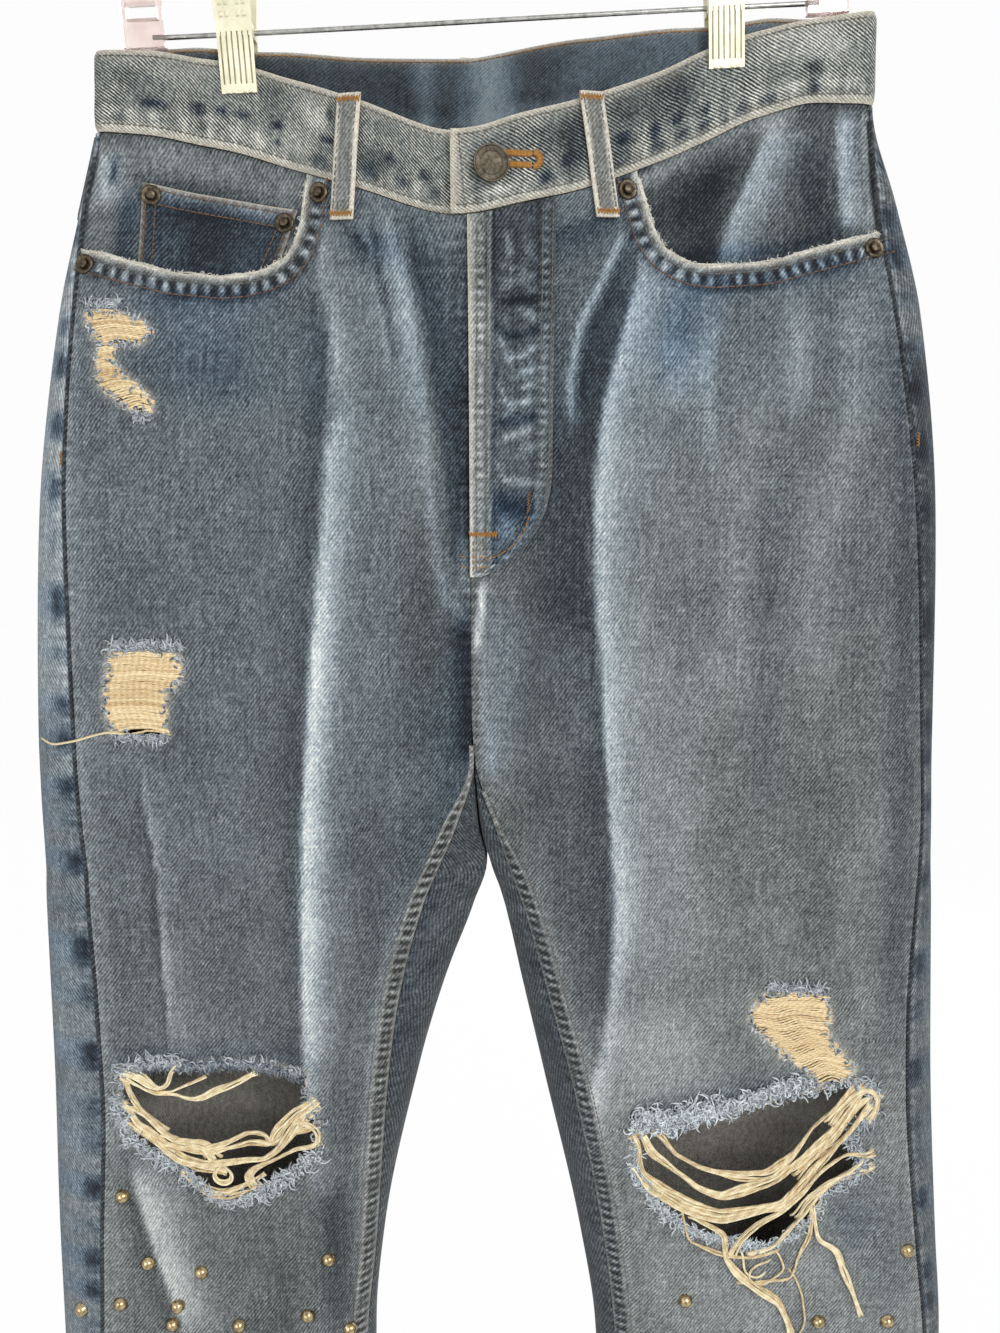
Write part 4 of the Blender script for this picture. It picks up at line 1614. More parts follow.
def makeFrays(side):
    source = np.random.default_rng(31 if side == "right" else 32)
    rip = rips[side]
    paths, shades = [], []

    def add(low, high, *how, **more):
        found = frayPaths(*how, **more)
        paths.extend(found)
        shades.extend(float(s) for s in source.uniform(low, high, len(found)))

    if side == "right":
        upper = ((-192, -689), (-178, -687), (-158, -687), (-136, -684), (-118, -684), (-98, -686))
        tufts = ((-196, -690), (-184, -686), (-172, -684), (-160, -688))
        lower = ((-196, -706), (-192, -728), (-176, -742), (-160, -752), (-150, -764), (-135, -768), (-118, -760),
                 (-102, -746), (-88, -734))
        add(0.1, 0.8, rip, 1.3, 5.5, source)
        add(0.0, 0.45, upper, 4.5, 6.5, source, False, (0.1, -1), back=0.6, fore=0.8, up=0.7, curl=0.35)
        add(0.3, 0.9, tufts, 3.2, 6.0, source, False, back=1.6, fore=2.4, up=1.2)
        add(0.35, 1.0, lower, 3.6, 6.5, source, False, back=2.2, fore=3.0, curl=1.0, up=1.4)
    else:
        upper = ((79, -718), (100, -720), (127, -712), (153, -702), (172, -697))
        thick = ((78, -716), (100, -719), (128, -711))
        lower = ((80, -736), (82, -752), (96, -772), (112, -786), (134, -792), (154, -795), (166, -786), (180, -776))
        outer = ((196, -696), (207, -700), (208, -715), (196, -728), (206, -748), (186, -762))
        add(0.3, 1.0, rip, 1.2, 5.0, source)
        add(0.3, 1.3, upper, 7.0, 7.0, source, False, back=3.4, fore=3.4, curl=1.3, up=2.0)
        add(0.4, 1.5, thick, 8.0, 8.5, source, False, back=5.5, fore=3.4, curl=1.3, up=2.6)
        add(0.4, 1.0, lower, 2.6, 5.5, source, False, back=2.4, fore=2.6, up=1.0)
        add(0.2, 0.8, outer, 2.8, 6.0, source, False, back=2.4, fore=3.0, up=1.2)
    for name, outline in wornPatches[side].items():
        outline = np.asarray(outline, float)
        high, low = outline[:, 1].max(), outline[:, 1].min()
        top, foot = outline[outline[:, 1] > high - 5, 0], outline[outline[:, 1] < low + 6, 0]
        add(0.15, 0.85, ((top.min() - 1, high + 0.8), (top.max() + 1, high + 1.2)), 4.0, 6.5, source, False, (0.1, 1),
            back=1.4, fore=1.6, up=1.0, curl=0.9)
        if name != "knee":
            add(0.15, 0.8, ((foot.min(), low - 0.2), (foot.max(), low - 0.4)), 3.6, 5.0, source, False, (0, -1),
                back=1.2, fore=1.4, up=0.8)
        add(0.1, 0.9, outline, 1.0, 3.4, source, back=1.4, fore=1.2, up=0.7)
    handOver(tubes("frays_" + side, paths, [frayTaper] * len(paths), 3, frayYarn, shades), "denim")


mouthRoll = {
    "radius": 0.62, "lift": 0.55, "fringe": 1.8, "pitch": 0.9,
    "reach": 190, "from": {"right": -240, "left": -238},  # where the roll ends: at most this x, below this z
    "taper": np.array([0.28, 0.28, 0.26, 0.24, 0.2, 0.16, 0.1]),
}


def makeMouthEdge(side):
    # the cream, worn roll of the pocket mouth
    source = np.random.default_rng(41 if side == "right" else 42)
    line = rounded(mouths[side], mouthRoll["pitch"])
    line = line[(np.abs(line[:, 0]) < mouthRoll["reach"]) & (line[:, 1] < mouthRoll["from"][side])]
    way = np.arange(len(line)) * mouthRoll["pitch"]
    worn = 0.75 + 0.25 * np.sin(way / 9 + 1) + 0.18 * np.sin(way / 3.1)
    paths, radii, shades = [], [], []
    for k in range(3):
        shift = np.column_stack([0.35 * np.sin(way / 2.7 + 2 * k), 0.35 * np.cos(way / 3.4 + 2 * k) - 0.3 * k + 0.4])
        place = line + shift
        points, _ = onCloth("front", place[:, 0], place[:, 1], mouthRoll["lift"] + 0.25 * np.sin(way / 2.2 + 2.1 * k))
        paths.append(points)
        radii.append(mouthRoll["radius"] * worn * source.uniform(0.85, 1.15, len(line)))
        shades.append(0.35 + 0.2 * k)
    fringe = frayPaths(line, 2.2, mouthRoll["fringe"], source, False, back=0.8, fore=0.8, curl=0.9, up=0.5)
    paths += fringe
    radii += [mouthRoll["taper"]] * len(fringe)
    shades += [float(s) for s in source.uniform(0.3, 1.0, len(fringe))]
    handOver(tubes("mouth_edge_" + side, paths, radii, 4, wornEdge, shades), "weft_yarn")


# Stitching

stitchLook = {"pitch": 3.1, "length": 2.35, "radius": 0.29, "stand": 0.26, "sink": 0.35, "tackPitch": 0.62}


def stitchPaths(points, normals):
    # short bowed threads along a line of surface points
    look = stitchLook
    way = wayAlong(points)
    middles = np.arange(look["pitch"] / 2, way[-1], look["pitch"])
    places = middles[:, None] + np.array([-0.5, -0.3, 0.3, 0.5]) * look["length"]
    heights = np.array([-look["sink"], look["stand"], look["stand"], -look["sink"]])
    return list(readAlong(points, way, places) + readAlong(normals, way, places) * heights[:, None])


def seamOn(face, line, lift):
    line = rounded(line, 1.0, passes=1)
    return stitchPaths(*onCloth(face, line[:, 0], line[:, 1], lift))


def bandSeam(layer, xs, down, outwards=1):
    # a row along the band, on its outside or with outwards=-1 on its inside
    points = bandMiddle(layer, xs, down)
    normal = unit(np.cross(np.gradient(points, axis=0), [0, 0, 1.0]))
    normal *= np.sign(normal[:, 1:2]) * (outwards if layer == "back" else -outwards)
    return stitchPaths(points + normal * band["half"], normal)


def offsetLine(line, distance):
    line = rounded(line, 1.0, passes=2)
    step = unit(np.gradient(line, axis=0))
    return line + np.column_stack([step[:, 1], -step[:, 0]]) * distance


def bartack(face, x, z, length, width, lift, upright=False):
    # a dense zigzag of thread
    count = int(length / stitchLook["tackPitch"])
    paths = []
    for k in range(count):
        a = (k / (count - 1) - 0.5) * length
        lean = 0.35 * (1 if k % 2 else -1)
        ends = ((a - lean, -width / 2), (a, 0), (a + lean, width / 2))
        spots = [(x + (q if upright else p), z + (p if upright else q)) for p, q in ends]
        points, normals = onCloth(face, [s[0] for s in spots], [s[1] for s in spots], lift)
        paths.append(points + normals * np.array([-0.3, 0.42, -0.3])[:, None])
    return paths


def stitchPiece(name, paths, material):
    shades = [float(s) for s in np.random.default_rng(len(paths)).uniform(0, 1, len(paths))]
    handOver(tubes(name, paths, stitchLook["radius"], 4, material, shades), "weft_yarn")
    print("  ", name, len(paths), "stitches")


# each belt loop's rows and bar tacks: how far they lie over it, and the tacks' length, width and distances in
loopSewing = {
    "front": {"rows": 0.54, "tack": (10, 3.2), "high": 2.6, "low": 2.6, "tacks": 0.1},
    "back": {"rows": 0.0, "tack": (9, 1.8), "high": 2.2, "low": 2.0, "tacks": 0.0},
}


def sewLoops(wanted):
    look = loopSewing[wanted]
    for face, x, lean, space in beltLoops["places"].values():
        if face != wanted:
            continue
        high = float(bandLine(face, "top", x)) + beltLoops["over"]
        low = float(bandLine(face, "bottom", x + lean)) - beltLoops["under"]
        lift = band["half"] + 2 * beltLoops["half"] + space
        rows, tacks = [], []
        for away in (-3.6, 3.6):
            rows += seamOn(face, ((x + away, high - 3), (x + lean + away, low + 3)), lift + look["rows"])
        for tackX, z in ((x, high - look["high"]), (x + lean, low + look["low"])):
            tacks += bartack(face, tackX, z, *look["tack"], lift + look["tacks"])
        yield rows, tacks


def sewFront():
    tonal, brown, tobacco = [], [], []
    for side in ("right", "left"):
        sign = 1 if side == "left" else -1
        mouth = np.array([p for p in rounded(mouths[side], 1.0) if abs(p[0]) < 196 and p[1] < -236])
        half = len(mouth) // 2
        inward = -1 if offsetLine(mouth, 3)[half][1] > mouth[half][1] else 1
        tonal += seamOn("front", offsetLine(mouth, inward * 4.0), 0.95)
        brown += seamOn("front", offsetLine(mouth, inward * 10.4), 0.95)
        leg = np.linspace(-545, -1222, 300)
        inseam = section(side, "inseam", leg)
        for away in (2.6, 8.6):
            tonal += seamOn("front", np.column_stack([inseam + sign * away, leg]), clothHalf)
    middle = np.linspace(-411, -426, 20)
    for away in (1.6, 5.0):
        tobacco += seamOn("front", np.column_stack([-6.8 + away + 0 * middle, middle]), fly["lift"] + 0.9)
    down = np.linspace(0.02, 0.985, 90)
    bottom = float(bandLine("front", "bottom", centre)) - fly["height"]
    for away in (6.2, 1.4):
        x = flyInner(down) - away
        z = (bandLine("front", "bottom", x) - 0.9) * (1 - down) + (bottom + away * 0.9) * down
        keepLine = x > fly["edge"] + 1.5
        tonal += seamOn("front", np.column_stack([x, z])[keepLine], fly["lift"] + 0.75)
    edge = np.linspace(-262, -425, 120)
    for away in (3.6, 8.6):
        tonal += seamOn("front", np.column_stack([fly["edge"] + away + 0 * edge, edge]), fly["lift"] + 0.85)
    slanted = coin["top"] + coin["topSlant"]
    for start, sign, high, slant in ((coin["left"], 1, coin["top"], coin["leftSlant"]),
                                     (coin["right"], -1, slanted, coin["rightSlant"])):
        for away in (2.0, 6.6):
            x = start + sign * away
            brown += seamOn("front", ((x, high - 0.5), (x + slant, -287)), coin["lift"] + 0.95)
    for away in (2.4, 9.2):
        line = ((coin["left"] + 1, coin["top"] - away), (coin["right"] - 1, slanted - away))
        brown += seamOn("front", line, coin["lift"] + 0.95)
    tobacco += bartack("front", 0, -408, 14, 3.4, fly["lift"] + 0.8)
    brown += bartack("front", 23, -392, 9, 1.6, fly["lift"] + 0.7, upright=True)
    for z in (-419.5, -424.5):
        tobacco += seamOn("front", ((-6, z), (-2, z), (2.5, z + 0.6)), fly["lift"] + 0.95)
        tobacco += seamOn("front", ((-12, z + 0.4), (-7.5, z)), 1.0)
    tobacco += seamOn("front", ((1, -421), (9, -418), (16, -413), (21, -407), (23.5, -399)), fly["lift"] + 0.8)
    tobacco += bartack("front", -206, -371, 6, 1.8, 0.7, upright=True)
    tobacco += bartack("front", 212, -362, 6, 1.8, 0.7, upright=True)
    for rows, tacks in sewLoops("front"):
        tonal += rows
        tobacco += tacks
    return tonal, brown, tobacco


def sewBand():
    tonal, gold = [], []
    right, left = (float(section(side, "edge", -190.0)) for side in ("right", "left"))
    frontRight = np.linspace(right + 3, -8, 200)
    frontLeft = np.linspace(left - 3, -13, 230)
    behind = np.linspace(right + 3, left - 3, 400)
    for down in (0.075, 0.905):
        tonal += bandSeam("under", frontRight[frontRight < -17], down)
        tonal += bandSeam("over", frontLeft, down)
        gold += bandSeam("back", behind, down)
    for down in (0.05, 0.90):
        gold += bandSeam("back", behind, down, -1)
    points = np.concatenate([bandMiddle("over", np.array([-11.5 + 3.5 * d]), d) for d in np.linspace(0.05, 0.95, 40)])
    normal = np.tile([0.0, -1.0, 0.0], (len(points), 1))
    tonal += stitchPaths(points + normal * band["half"], normal)
    return tonal, gold


def sewBack():
    gold = []
    for side, ends in (("right", (-194, -10)), ("left", (196, -2))):
        x = np.linspace(*ends, 160)
        for away in (-2.2, -8.0):
            gold += seamOn("back", np.column_stack([x, yokeLine("back", x) + away]), clothHalf)
        seat = np.linspace(-296, -520, 180)
        if side == "left":
            for away in (2.2, 8.0):
                gold += seamOn("back", np.column_stack([centre + away + 0 * seat, seat]), clothHalf)
        middle, slope = backPockets["places"][side]
        narrow = backPockets["halfTop"] - backPockets["halfBottom"]
        top, lift = backPockets["top"], backPockets["lift"]
        for away in (1.8, 7.6):
            left = middle - backPockets["halfTop"] + away
            right = middle + backPockets["halfTop"] - away
            low = backPockets["sideBottom"] + away * 0.7
            line = ((left, top - slope / 2 - 1), (left + narrow, low), (middle, low - backPockets["point"]),
                    (right - narrow, low), (right, top + slope / 2 - 1))
            gold += seamOn("back", resample(line, 1.0), lift + 0.9)
        for away in (2.5, 15.5):
            line = ((middle - 71, top - slope / 2 - away), (middle + 71, top + slope / 2 - away))
            gold += seamOn("back", line, lift + 1.0)
        for spot in (-71, 71):
            gold += bartack("back", middle + spot, top + slope * spot / 148 - 6, 8, 1.8, lift + 0.9, upright=True)
    for rows, tacks in sewLoops("back"):
        gold += rows + tacks
    return gold


print("yarns, frays and stitching")
for name in knees:
    kneeYarns(name)
for side in ("right", "left"):
    patchYarns(side)
    makeFrays(side)
    makeMouthEdge(side)
tonal, brown, tobacco = sewFront()
bandTonal, bandGold = sewBand()
stitchPiece("stitches_tonal", tonal + bandTonal, tonalThread)
stitchPiece("stitches_brown", brown, brownThread)
stitchPiece("stitches_tobacco", tobacco + bandGold + sewBack(), tobaccoThread)


# Metal and plastic

def dirty(name, dark, light, roughness, metallic, size, bump=0.03):
    material, tree, shader = newMaterial(name, roughness, metallic)
    where = tree.nodes.new("ShaderNodeTexCoord").outputs["Object"]
    grain = noise(tree, where, size, detail=5, rough=0.65)
    fine = noise(tree, where, size * 6, detail=2)
    tree.links.new(ramp(tree, grain, ((0.32, dark), (0.66, light))), shader.inputs["Base Color"])
    rough = plus(tree, centred(tree, grain, -0.25), roughness, clamp=True)
    tree.links.new(rough, shader.inputs["Roughness"])
    bumpTo(tree, shader, plus(tree, centred(tree, grain, bump * 2), centred(tree, fine, bump)))
    return material


antique = dirty("antiqueMetal", (52, 48, 40), (88, 82, 70), 0.5, 1.0, 420, 0.01)
antiqueDark = dirty("antiqueDark", (38, 33, 28), (104, 94, 78), 0.42, 1.0, 700)
goldMetal = dirty("studGold", (112, 86, 52), (218, 198, 156), 0.17, 1.0, 480, 0.01)
nickel = dirty("satinNickel", (206, 202, 178), (230, 226, 204), 0.6, 1.0, 60, 0.002)
nickelShade = dirty("nickelShade", (112, 108, 88), (158, 153, 130), 0.5, 1.0, 90, 0.002)
wireSteel = dirty("wireSteel", (138, 138, 134), (200, 199, 193), 0.3, 1.0, 300, 0.005)
pinkPlastic, pinkTree, pinkShader = newMaterial("pinkPlastic", 0.2, 0.0, Transmission_Weight=0.9, IOR=1.46)
pinkWhere = pinkTree.nodes.new("ShaderNodeTexCoord").outputs["Object"]
pinkFlow = noise(pinkTree, scaled(pinkTree, pinkWhere, (90, 90, 30)), detail=3)
pinkTree.links.new(ramp(pinkTree, pinkFlow, ((0.3, (236, 208, 202)), (0.7, (251, 238, 233)))),
                   pinkShader.inputs["Base Color"])
bumpTo(pinkTree, pinkShader, centred(pinkTree, pinkFlow, 0.06))
pinkEdge = dirty("pinkEdge", (88, 44, 36), (156, 100, 88), 0.3, 0.0, 200, 0.01)


def alone(thing=None):
    # leaves edit mode, with only this thing selected
    if bpy.context.object is not None and bpy.context.object.mode != "OBJECT":
        bpy.ops.object.mode_set(mode="OBJECT")
    bpy.ops.object.select_all(action="DESELECT")
    if thing is not None:
        bpy.context.view_layer.objects.active = thing
        thing.select_set(True)


def applyMoves():
    bpy.ops.object.transform_apply(location=True, rotation=True, scale=True)


def copyOf(source, name):
    piece = source.copy()
    piece.data = source.data.copy()
    piece.name = name
    bpy.context.scene.collection.objects.link(piece)
    return piece


def editing(thing):
    alone(thing)
    bpy.ops.object.mode_set(mode="EDIT")
    bpy.ops.mesh.select_mode(type="FACE")


def pick(thing, test):
    # in edit mode, selects the faces for which test(middle, normal) holds, both in mm
    mesh = bmesh.from_edit_mesh(thing.data)
    for face in mesh.faces:
        face.select_set(False)
    mesh.select_flush(False)
    for face in mesh.faces:
        if test(face.calc_center_median() / mm, face.normal):
            face.select_set(True)
    bmesh.update_edit_mesh(thing.data)


def extrude(x=0.0, y=0.0, z=0.0):
    bpy.ops.mesh.extrude_region_move(TRANSFORM_OT_translate={"value": (x * mm, y * mm, z * mm)})


def inset(width, deep=0.0, each=False):
    bpy.ops.mesh.inset(thickness=width * mm, depth=deep * mm, use_individual=each)


def cutAt(x=None, z=None):
    bpy.ops.mesh.select_all(action="SELECT")
    if x is None:
        bpy.ops.mesh.bisect(plane_co=(0, 0, z * mm), plane_no=(0, 0, 1))
    else:
        bpy.ops.mesh.bisect(plane_co=(x * mm, 0, 0), plane_no=(1, 0, 0))


def finish(thing, material, bevel, segments=2, angle=40, edging=None):
    # rounds the edges and gives the material, with the edging's material on the rounded edges
    alone(thing)
    edge = thing.modifiers.new("edges", "BEVEL")
    edge.width = bevel * mm
    edge.segments = segments
    edge.limit_method = "ANGLE"
    edge.angle_limit = math.radians(angle)
    edge.material = 1 if edging else -1
    bpy.ops.object.modifier_apply(modifier="edges")
    for each in [material, edging] if edging else [material]:
        thing.data.materials.append(each)
    bpy.ops.object.shade_smooth_by_angle(angle=math.radians(35))


def seat(source, name, node, slot, place, normal, spin=0.0):
    # a copy with its own mesh, standing on the cloth
    piece = copyOf(source, name)
    turn = Vector(normal).to_track_quat("Z", "Y").to_matrix().to_4x4()
    piece.matrix_world = Matrix.Translation(Vector(place) * mm) @ turn @ Matrix.Rotation(spin, 4, "Z")
    alone(piece)
    applyMoves()
    handOver(piece, slot, node)


button = {"radius": 8.5, "shank": 2.7, "tall": 3.2, "plate": 1.7, "rim": 0.8, "dish": 0.35, "place": (3.0, -236)}


def makeButton():
    alone()
    bpy.ops.mesh.primitive_cylinder_add(vertices=56, radius=button["radius"] * mm, depth=button["plate"] * mm,
                                        location=(0, 0, (button["tall"] + button["plate"] / 2) * mm))
    thing = bpy.context.active_object
    applyMoves()
    editing(thing)
    pick(thing, lambda middle, normal: normal.z > 0.9)
    for width, deep in ((button["rim"], 0.0), (0.25, -button["dish"]), (1.9, 0.0), (0.18, -0.16), (0.28, 0.0),
                        (0.18, 0.16), (2.6, 0.12)):
        inset(width, deep)
    pick(thing, lambda middle, normal: normal.z < -0.9)
    inset(button["radius"] - button["shank"], 0.25)
    extrude(z=-button["tall"] - 0.4)
    bpy.ops.object.mode_set(mode="OBJECT")
    finish(thing, antique, 0.22, 2)
    return thing


rivet = {"radius": 4.9, "plate": 0.7}
stud = {"radius": 3.8, "cut": 0.3, "skirt": 0.35}


def makeRivet():
    alone()
    bpy.ops.mesh.primitive_cylinder_add(vertices=32, radius=rivet["radius"] * mm, depth=rivet["plate"] * mm,
                                        location=(0, 0, rivet["plate"] / 2 * mm))
    thing = bpy.context.active_object
    applyMoves()
    editing(thing)
    pick(thing, lambda middle, normal: normal.z > 0.9)
    for width, deep in ((0.7, 0.5), (1.5, -0.35), (0.5, -0.35)):
        inset(width, deep)
    extrude(z=1.5)
    inset(0.45, 0.25)
    bpy.ops.object.mode_set(mode="OBJECT")
    finish(thing, antiqueDark, 0.12, 2, 30)
    return thing


def makeStud():
    alone()
    bpy.ops.mesh.primitive_uv_sphere_add(segments=24, ring_count=14, radius=stud["radius"] * mm)
    thing = bpy.context.active_object
    editing(thing)
    bpy.ops.mesh.select_all(action="SELECT")
    bpy.ops.mesh.bisect(plane_co=(0, 0, stud["cut"] * mm), plane_no=(0, 0, 1), use_fill=True, clear_inner=True)
    pick(thing, lambda middle, normal: normal.z < -0.9)
    bpy.ops.transform.resize(value=(1.08, 1.08, 1.0))
    extrude(z=-stud["skirt"])
    bpy.ops.mesh.select_all(action="SELECT")
    bpy.ops.transform.translate(value=(0, 0, 0.05 * mm))
    bpy.ops.object.mode_set(mode="OBJECT")
    finish(thing, goldMetal, 0.3, 1, 50, antiqueDark)
    return thing


rivetPlaces = (
    (-160, -246, "coin"), (-97, -258, "coin"), (-79, -245, "front"),
    (69, -244, "front"), (-192, -279, "front"), (187, -272, "front"),
)
studPlaces = (
    (-196, -764), (-184, -804), (-156, -812), (-86, -803), (-224, -837), (-201, -830), (-170, -832),
    (-173, -843), (-136, -843), (-98, -837), (-76, -850), (110, -828), (231, -799), (184, -841), (222, -841),
)


def makeTrims():
    source = makeButton()
    points, normals = onCloth("front", *button["place"], 0.0)
    x, z = button["place"]
    down = (float(bandLine("front", "top", x)) - z) / band["height"]
    spot = bandMiddle("over", np.array([x]), down)[0]
    seat(source, "waist_button_turned", "waist_button", "antique_metal", spot + normals * (band["half"] - 0.1),
         normals)
    bpy.data.objects.remove(source)
    source = makeRivet()
    for number, (x, z, sheet) in enumerate(rivetPlaces, 1):
        lift = coin["lift"] + clothHalf + 0.25 if sheet == "coin" else clothHalf + 0.22
        place, normal = onCloth("front", x, z, lift)
        node = f"rivet_{number:02d}"
        seat(source, node + "_pressed", node, "antique_metal", place, normal, number * 0.7)
    bpy.data.objects.remove(source)
    source = makeStud()
    for number, (x, z) in enumerate(studPlaces, 1):
        place, normal = onCloth("front", x, z, clothHalf)
        node = f"stud_{number:02d}"
        seat(source, node + "_domed", node, "stud_gold", place, normal, number * 1.1)
    bpy.data.objects.remove(source)


# Keyhole buttonhole, worked in thick thread beside the button

buttonhole = {
    "z": -233.0, "start": 9.5, "end": 22.5, "half": 1.5, "stitches": 62, "thread": 0.42,
    "eye": (2.0, 2.2), "eyeShift": 0.8,
    "straight": 0.36,  # share of the stitches in each of the two straight sides
}


def sewButtonhole():
    look = buttonhole
    long, straight = look["end"] - look["start"], look["straight"]
    paths = []
    for t in np.linspace(0, 1, look["stitches"]):
        if t < straight:
            x, z, out = look["start"] + long * t / straight, look["z"] + look["half"], (0.0, 1.0)
        elif t < 1 - straight:
            turn = math.pi / 2 - math.pi * (t - straight) / (1 - 2 * straight)
            out = (math.cos(turn), math.sin(turn))
            x = look["end"] + look["eyeShift"] + look["eye"][0] * out[0]
            z = look["z"] + look["eye"][1] * out[1]
        else:
            x, z, out = look["end"] - long * (t - 1 + straight) / straight, look["z"] - look["half"], (0.0, -1.0)
        route = [(x + out[0] * d, z + out[1] * d) for d in (-0.5, 0.4, 1.5, 2.5)]
        points, normals = onCloth("front", [p[0] for p in route], [p[1] for p in route], band["half"] * 2 + 0.3)
        paths.append(points + normals * np.array([-0.3, 0.55, 0.5, -0.25])[:, None])
    handOver(tubes("buttonhole_thread", paths, look["thread"], 4, tobaccoThread), "weft_yarn")


# Hanger: everything here is made level and then tilted as the hanger hangs

hanger = {"tilt": 2.76, "hookRadius": 20.0, "hookWire": 4.0, "barDrop": 165.0, "barHalf": 160.0, "barWire": 2.4,
          "armEnd": 180.0, "armDepth": 7.0, "leftShort": 14.0}
clip = {
    "width": 17.0, "sheet": 1.5, "reach": 28.0, "open": 22.0,
    "middles": {"clip_right": -126.0, "clip_left": 107.0},
    # where the jaw's plate is cut to be bent and pressed, and its profile
    "levels": (-26.5, -24, -3, -1, 2.5, 5, 7.5, 10, 15, 18),
    "lines": (-7.1, -6.3, -4.3, -3.5, -1.8, -1.0, 1.0, 1.8, 3.5, 4.3, 6.3, 7.1),
    "profile": ((-28, -24, 0, 10, 22), (5.0, 5.6, 7.1, 8.6, 11.4)),
}


def tilted(thing, node, slot):
    alone(thing)
    thing.matrix_world = Matrix.Rotation(math.radians(-hanger["tilt"]), 4, "Y") @ thing.matrix_world
    applyMoves()
    handOver(thing, slot, node)


def makeWires():
    wire = hanger["hookWire"]
    middle = -hanger["hookRadius"] + wire / 2
    route = [(0, 0, -62), (0, 0, -56), (0, 0, -48), (-7, 0, -38)]
    for angle in range(-80, -361, -20):
        turn = math.radians(angle)
        route.append((hanger["hookRadius"] * math.cos(turn), 0, middle + hanger["hookRadius"] * math.sin(turn)))
    route = np.array(route, float)
    way = wayAlong(route)
    places = np.linspace(0, way[-1], 90)
    path = np.column_stack([readCurve(way, route[:, k], places) for k in range(3)])
    thick = np.full(len(path), wire / 2)
    thick[-3:] = wire / 2 * np.array([0.93, 0.75, 0.3])
    tilted(tubes("hook_wire", [path], [thick], 16, wireSteel), "hook", "clip_steel")
    x = np.linspace(-hanger["barHalf"] - 6, hanger["barHalf"] - hanger["leftShort"] + 6, 40)
    path = np.column_stack([x, 0 * x, -hanger["barDrop"] + 0.25 * np.sin(x / 60)])
    tilted(tubes("bar_wire", [path], hanger["barWire"] / 2, 14, wireSteel), "hanger_bar", "clip_steel")


def plateFrom(name, outline, depth):
    # a flat plate from its outline in x and z, filled and given its thickness in edit mode
    alone()
    mesh = bpy.data.meshes.new(name)
    mesh.from_pydata([(x * mm, -depth / 2 * mm, z * mm) for x, z in outline], [], [list(range(len(outline)))])
    thing = bpy.data.objects.new(name, mesh)
    bpy.context.scene.collection.objects.link(thing)
    editing(thing)
    bpy.ops.mesh.select_all(action="SELECT")
    extrude(y=depth)
    bpy.ops.mesh.select_all(action="SELECT")
    bpy.ops.mesh.normals_make_consistent(inside=False)
    return thing


def makeArms():
    depth = hanger["armDepth"]
    neck = ((-9, -58.3), (9, -58.3), (12, -66), (12, -84), (6, -86), (-6, -86), (-12, -84), (-12, -66))
    thing = plateFrom("neck_moulded", neck, depth)
    pick(thing, lambda middle, normal: abs(normal.y) > 0.9)
    inset(1.8, -1.4, True)
    bpy.ops.object.mode_set(mode="OBJECT")
    finish(thing, pinkPlastic, 0.35, 2, 40, pinkEdge)
    tilted(thing, "hanger_neck", "pink_plastic")
    drop = hanger["barDrop"]
    for name, sign in (("hanger_arm_right", -1), ("hanger_arm_left", 1)):
        short = hanger["leftShort"] if sign > 0 else 0.0
        end, inner = hanger["armEnd"] - short, hanger["barHalf"] - short
        outline = ((12.3, -67), (40, -72), (120 - short, -102), (end - 8, -132), (end - 2, -137), (end, -144),
                   (end, -drop - 5),
                   (inner + 0.3, -drop - 5), (inner + 0.3, -146), (inner - 2, -141), (112 - short, -116), (38, -86),
                   (12.3, -83))
        thing = plateFrom(name + "_moulded", [(sign * x, z) for x, z in outline], depth)
        foot, shoulder = -drop + 5.5, -147.5
        cutAt(z=foot)
        cutAt(z=shoulder)
        # a window through the post, then hollows in both faces of the arm and of the foot
        pick(thing, lambda middle, normal: abs(normal.y) > 0.9 and foot < middle.z < shoulder)
        inset(2.4, each=True)
        bpy.ops.mesh.bridge_edge_loops()
        pick(thing, lambda middle, normal: abs(normal.y) > 0.9 and middle.z > shoulder)
        inset(3.2, -2.7, True)
        pick(thing, lambda middle,
             normal: abs(normal.y) > 0.9 and middle.z < foot and abs(middle.y) > depth / 2 - 0.1)
        inset(2.2, -0.8, True)
        bpy.ops.object.mode_set(mode="OBJECT")
        finish(thing, pinkPlastic, 0.8, 2, 40, pinkEdge)
        tilted(thing, name, "pink_plastic")


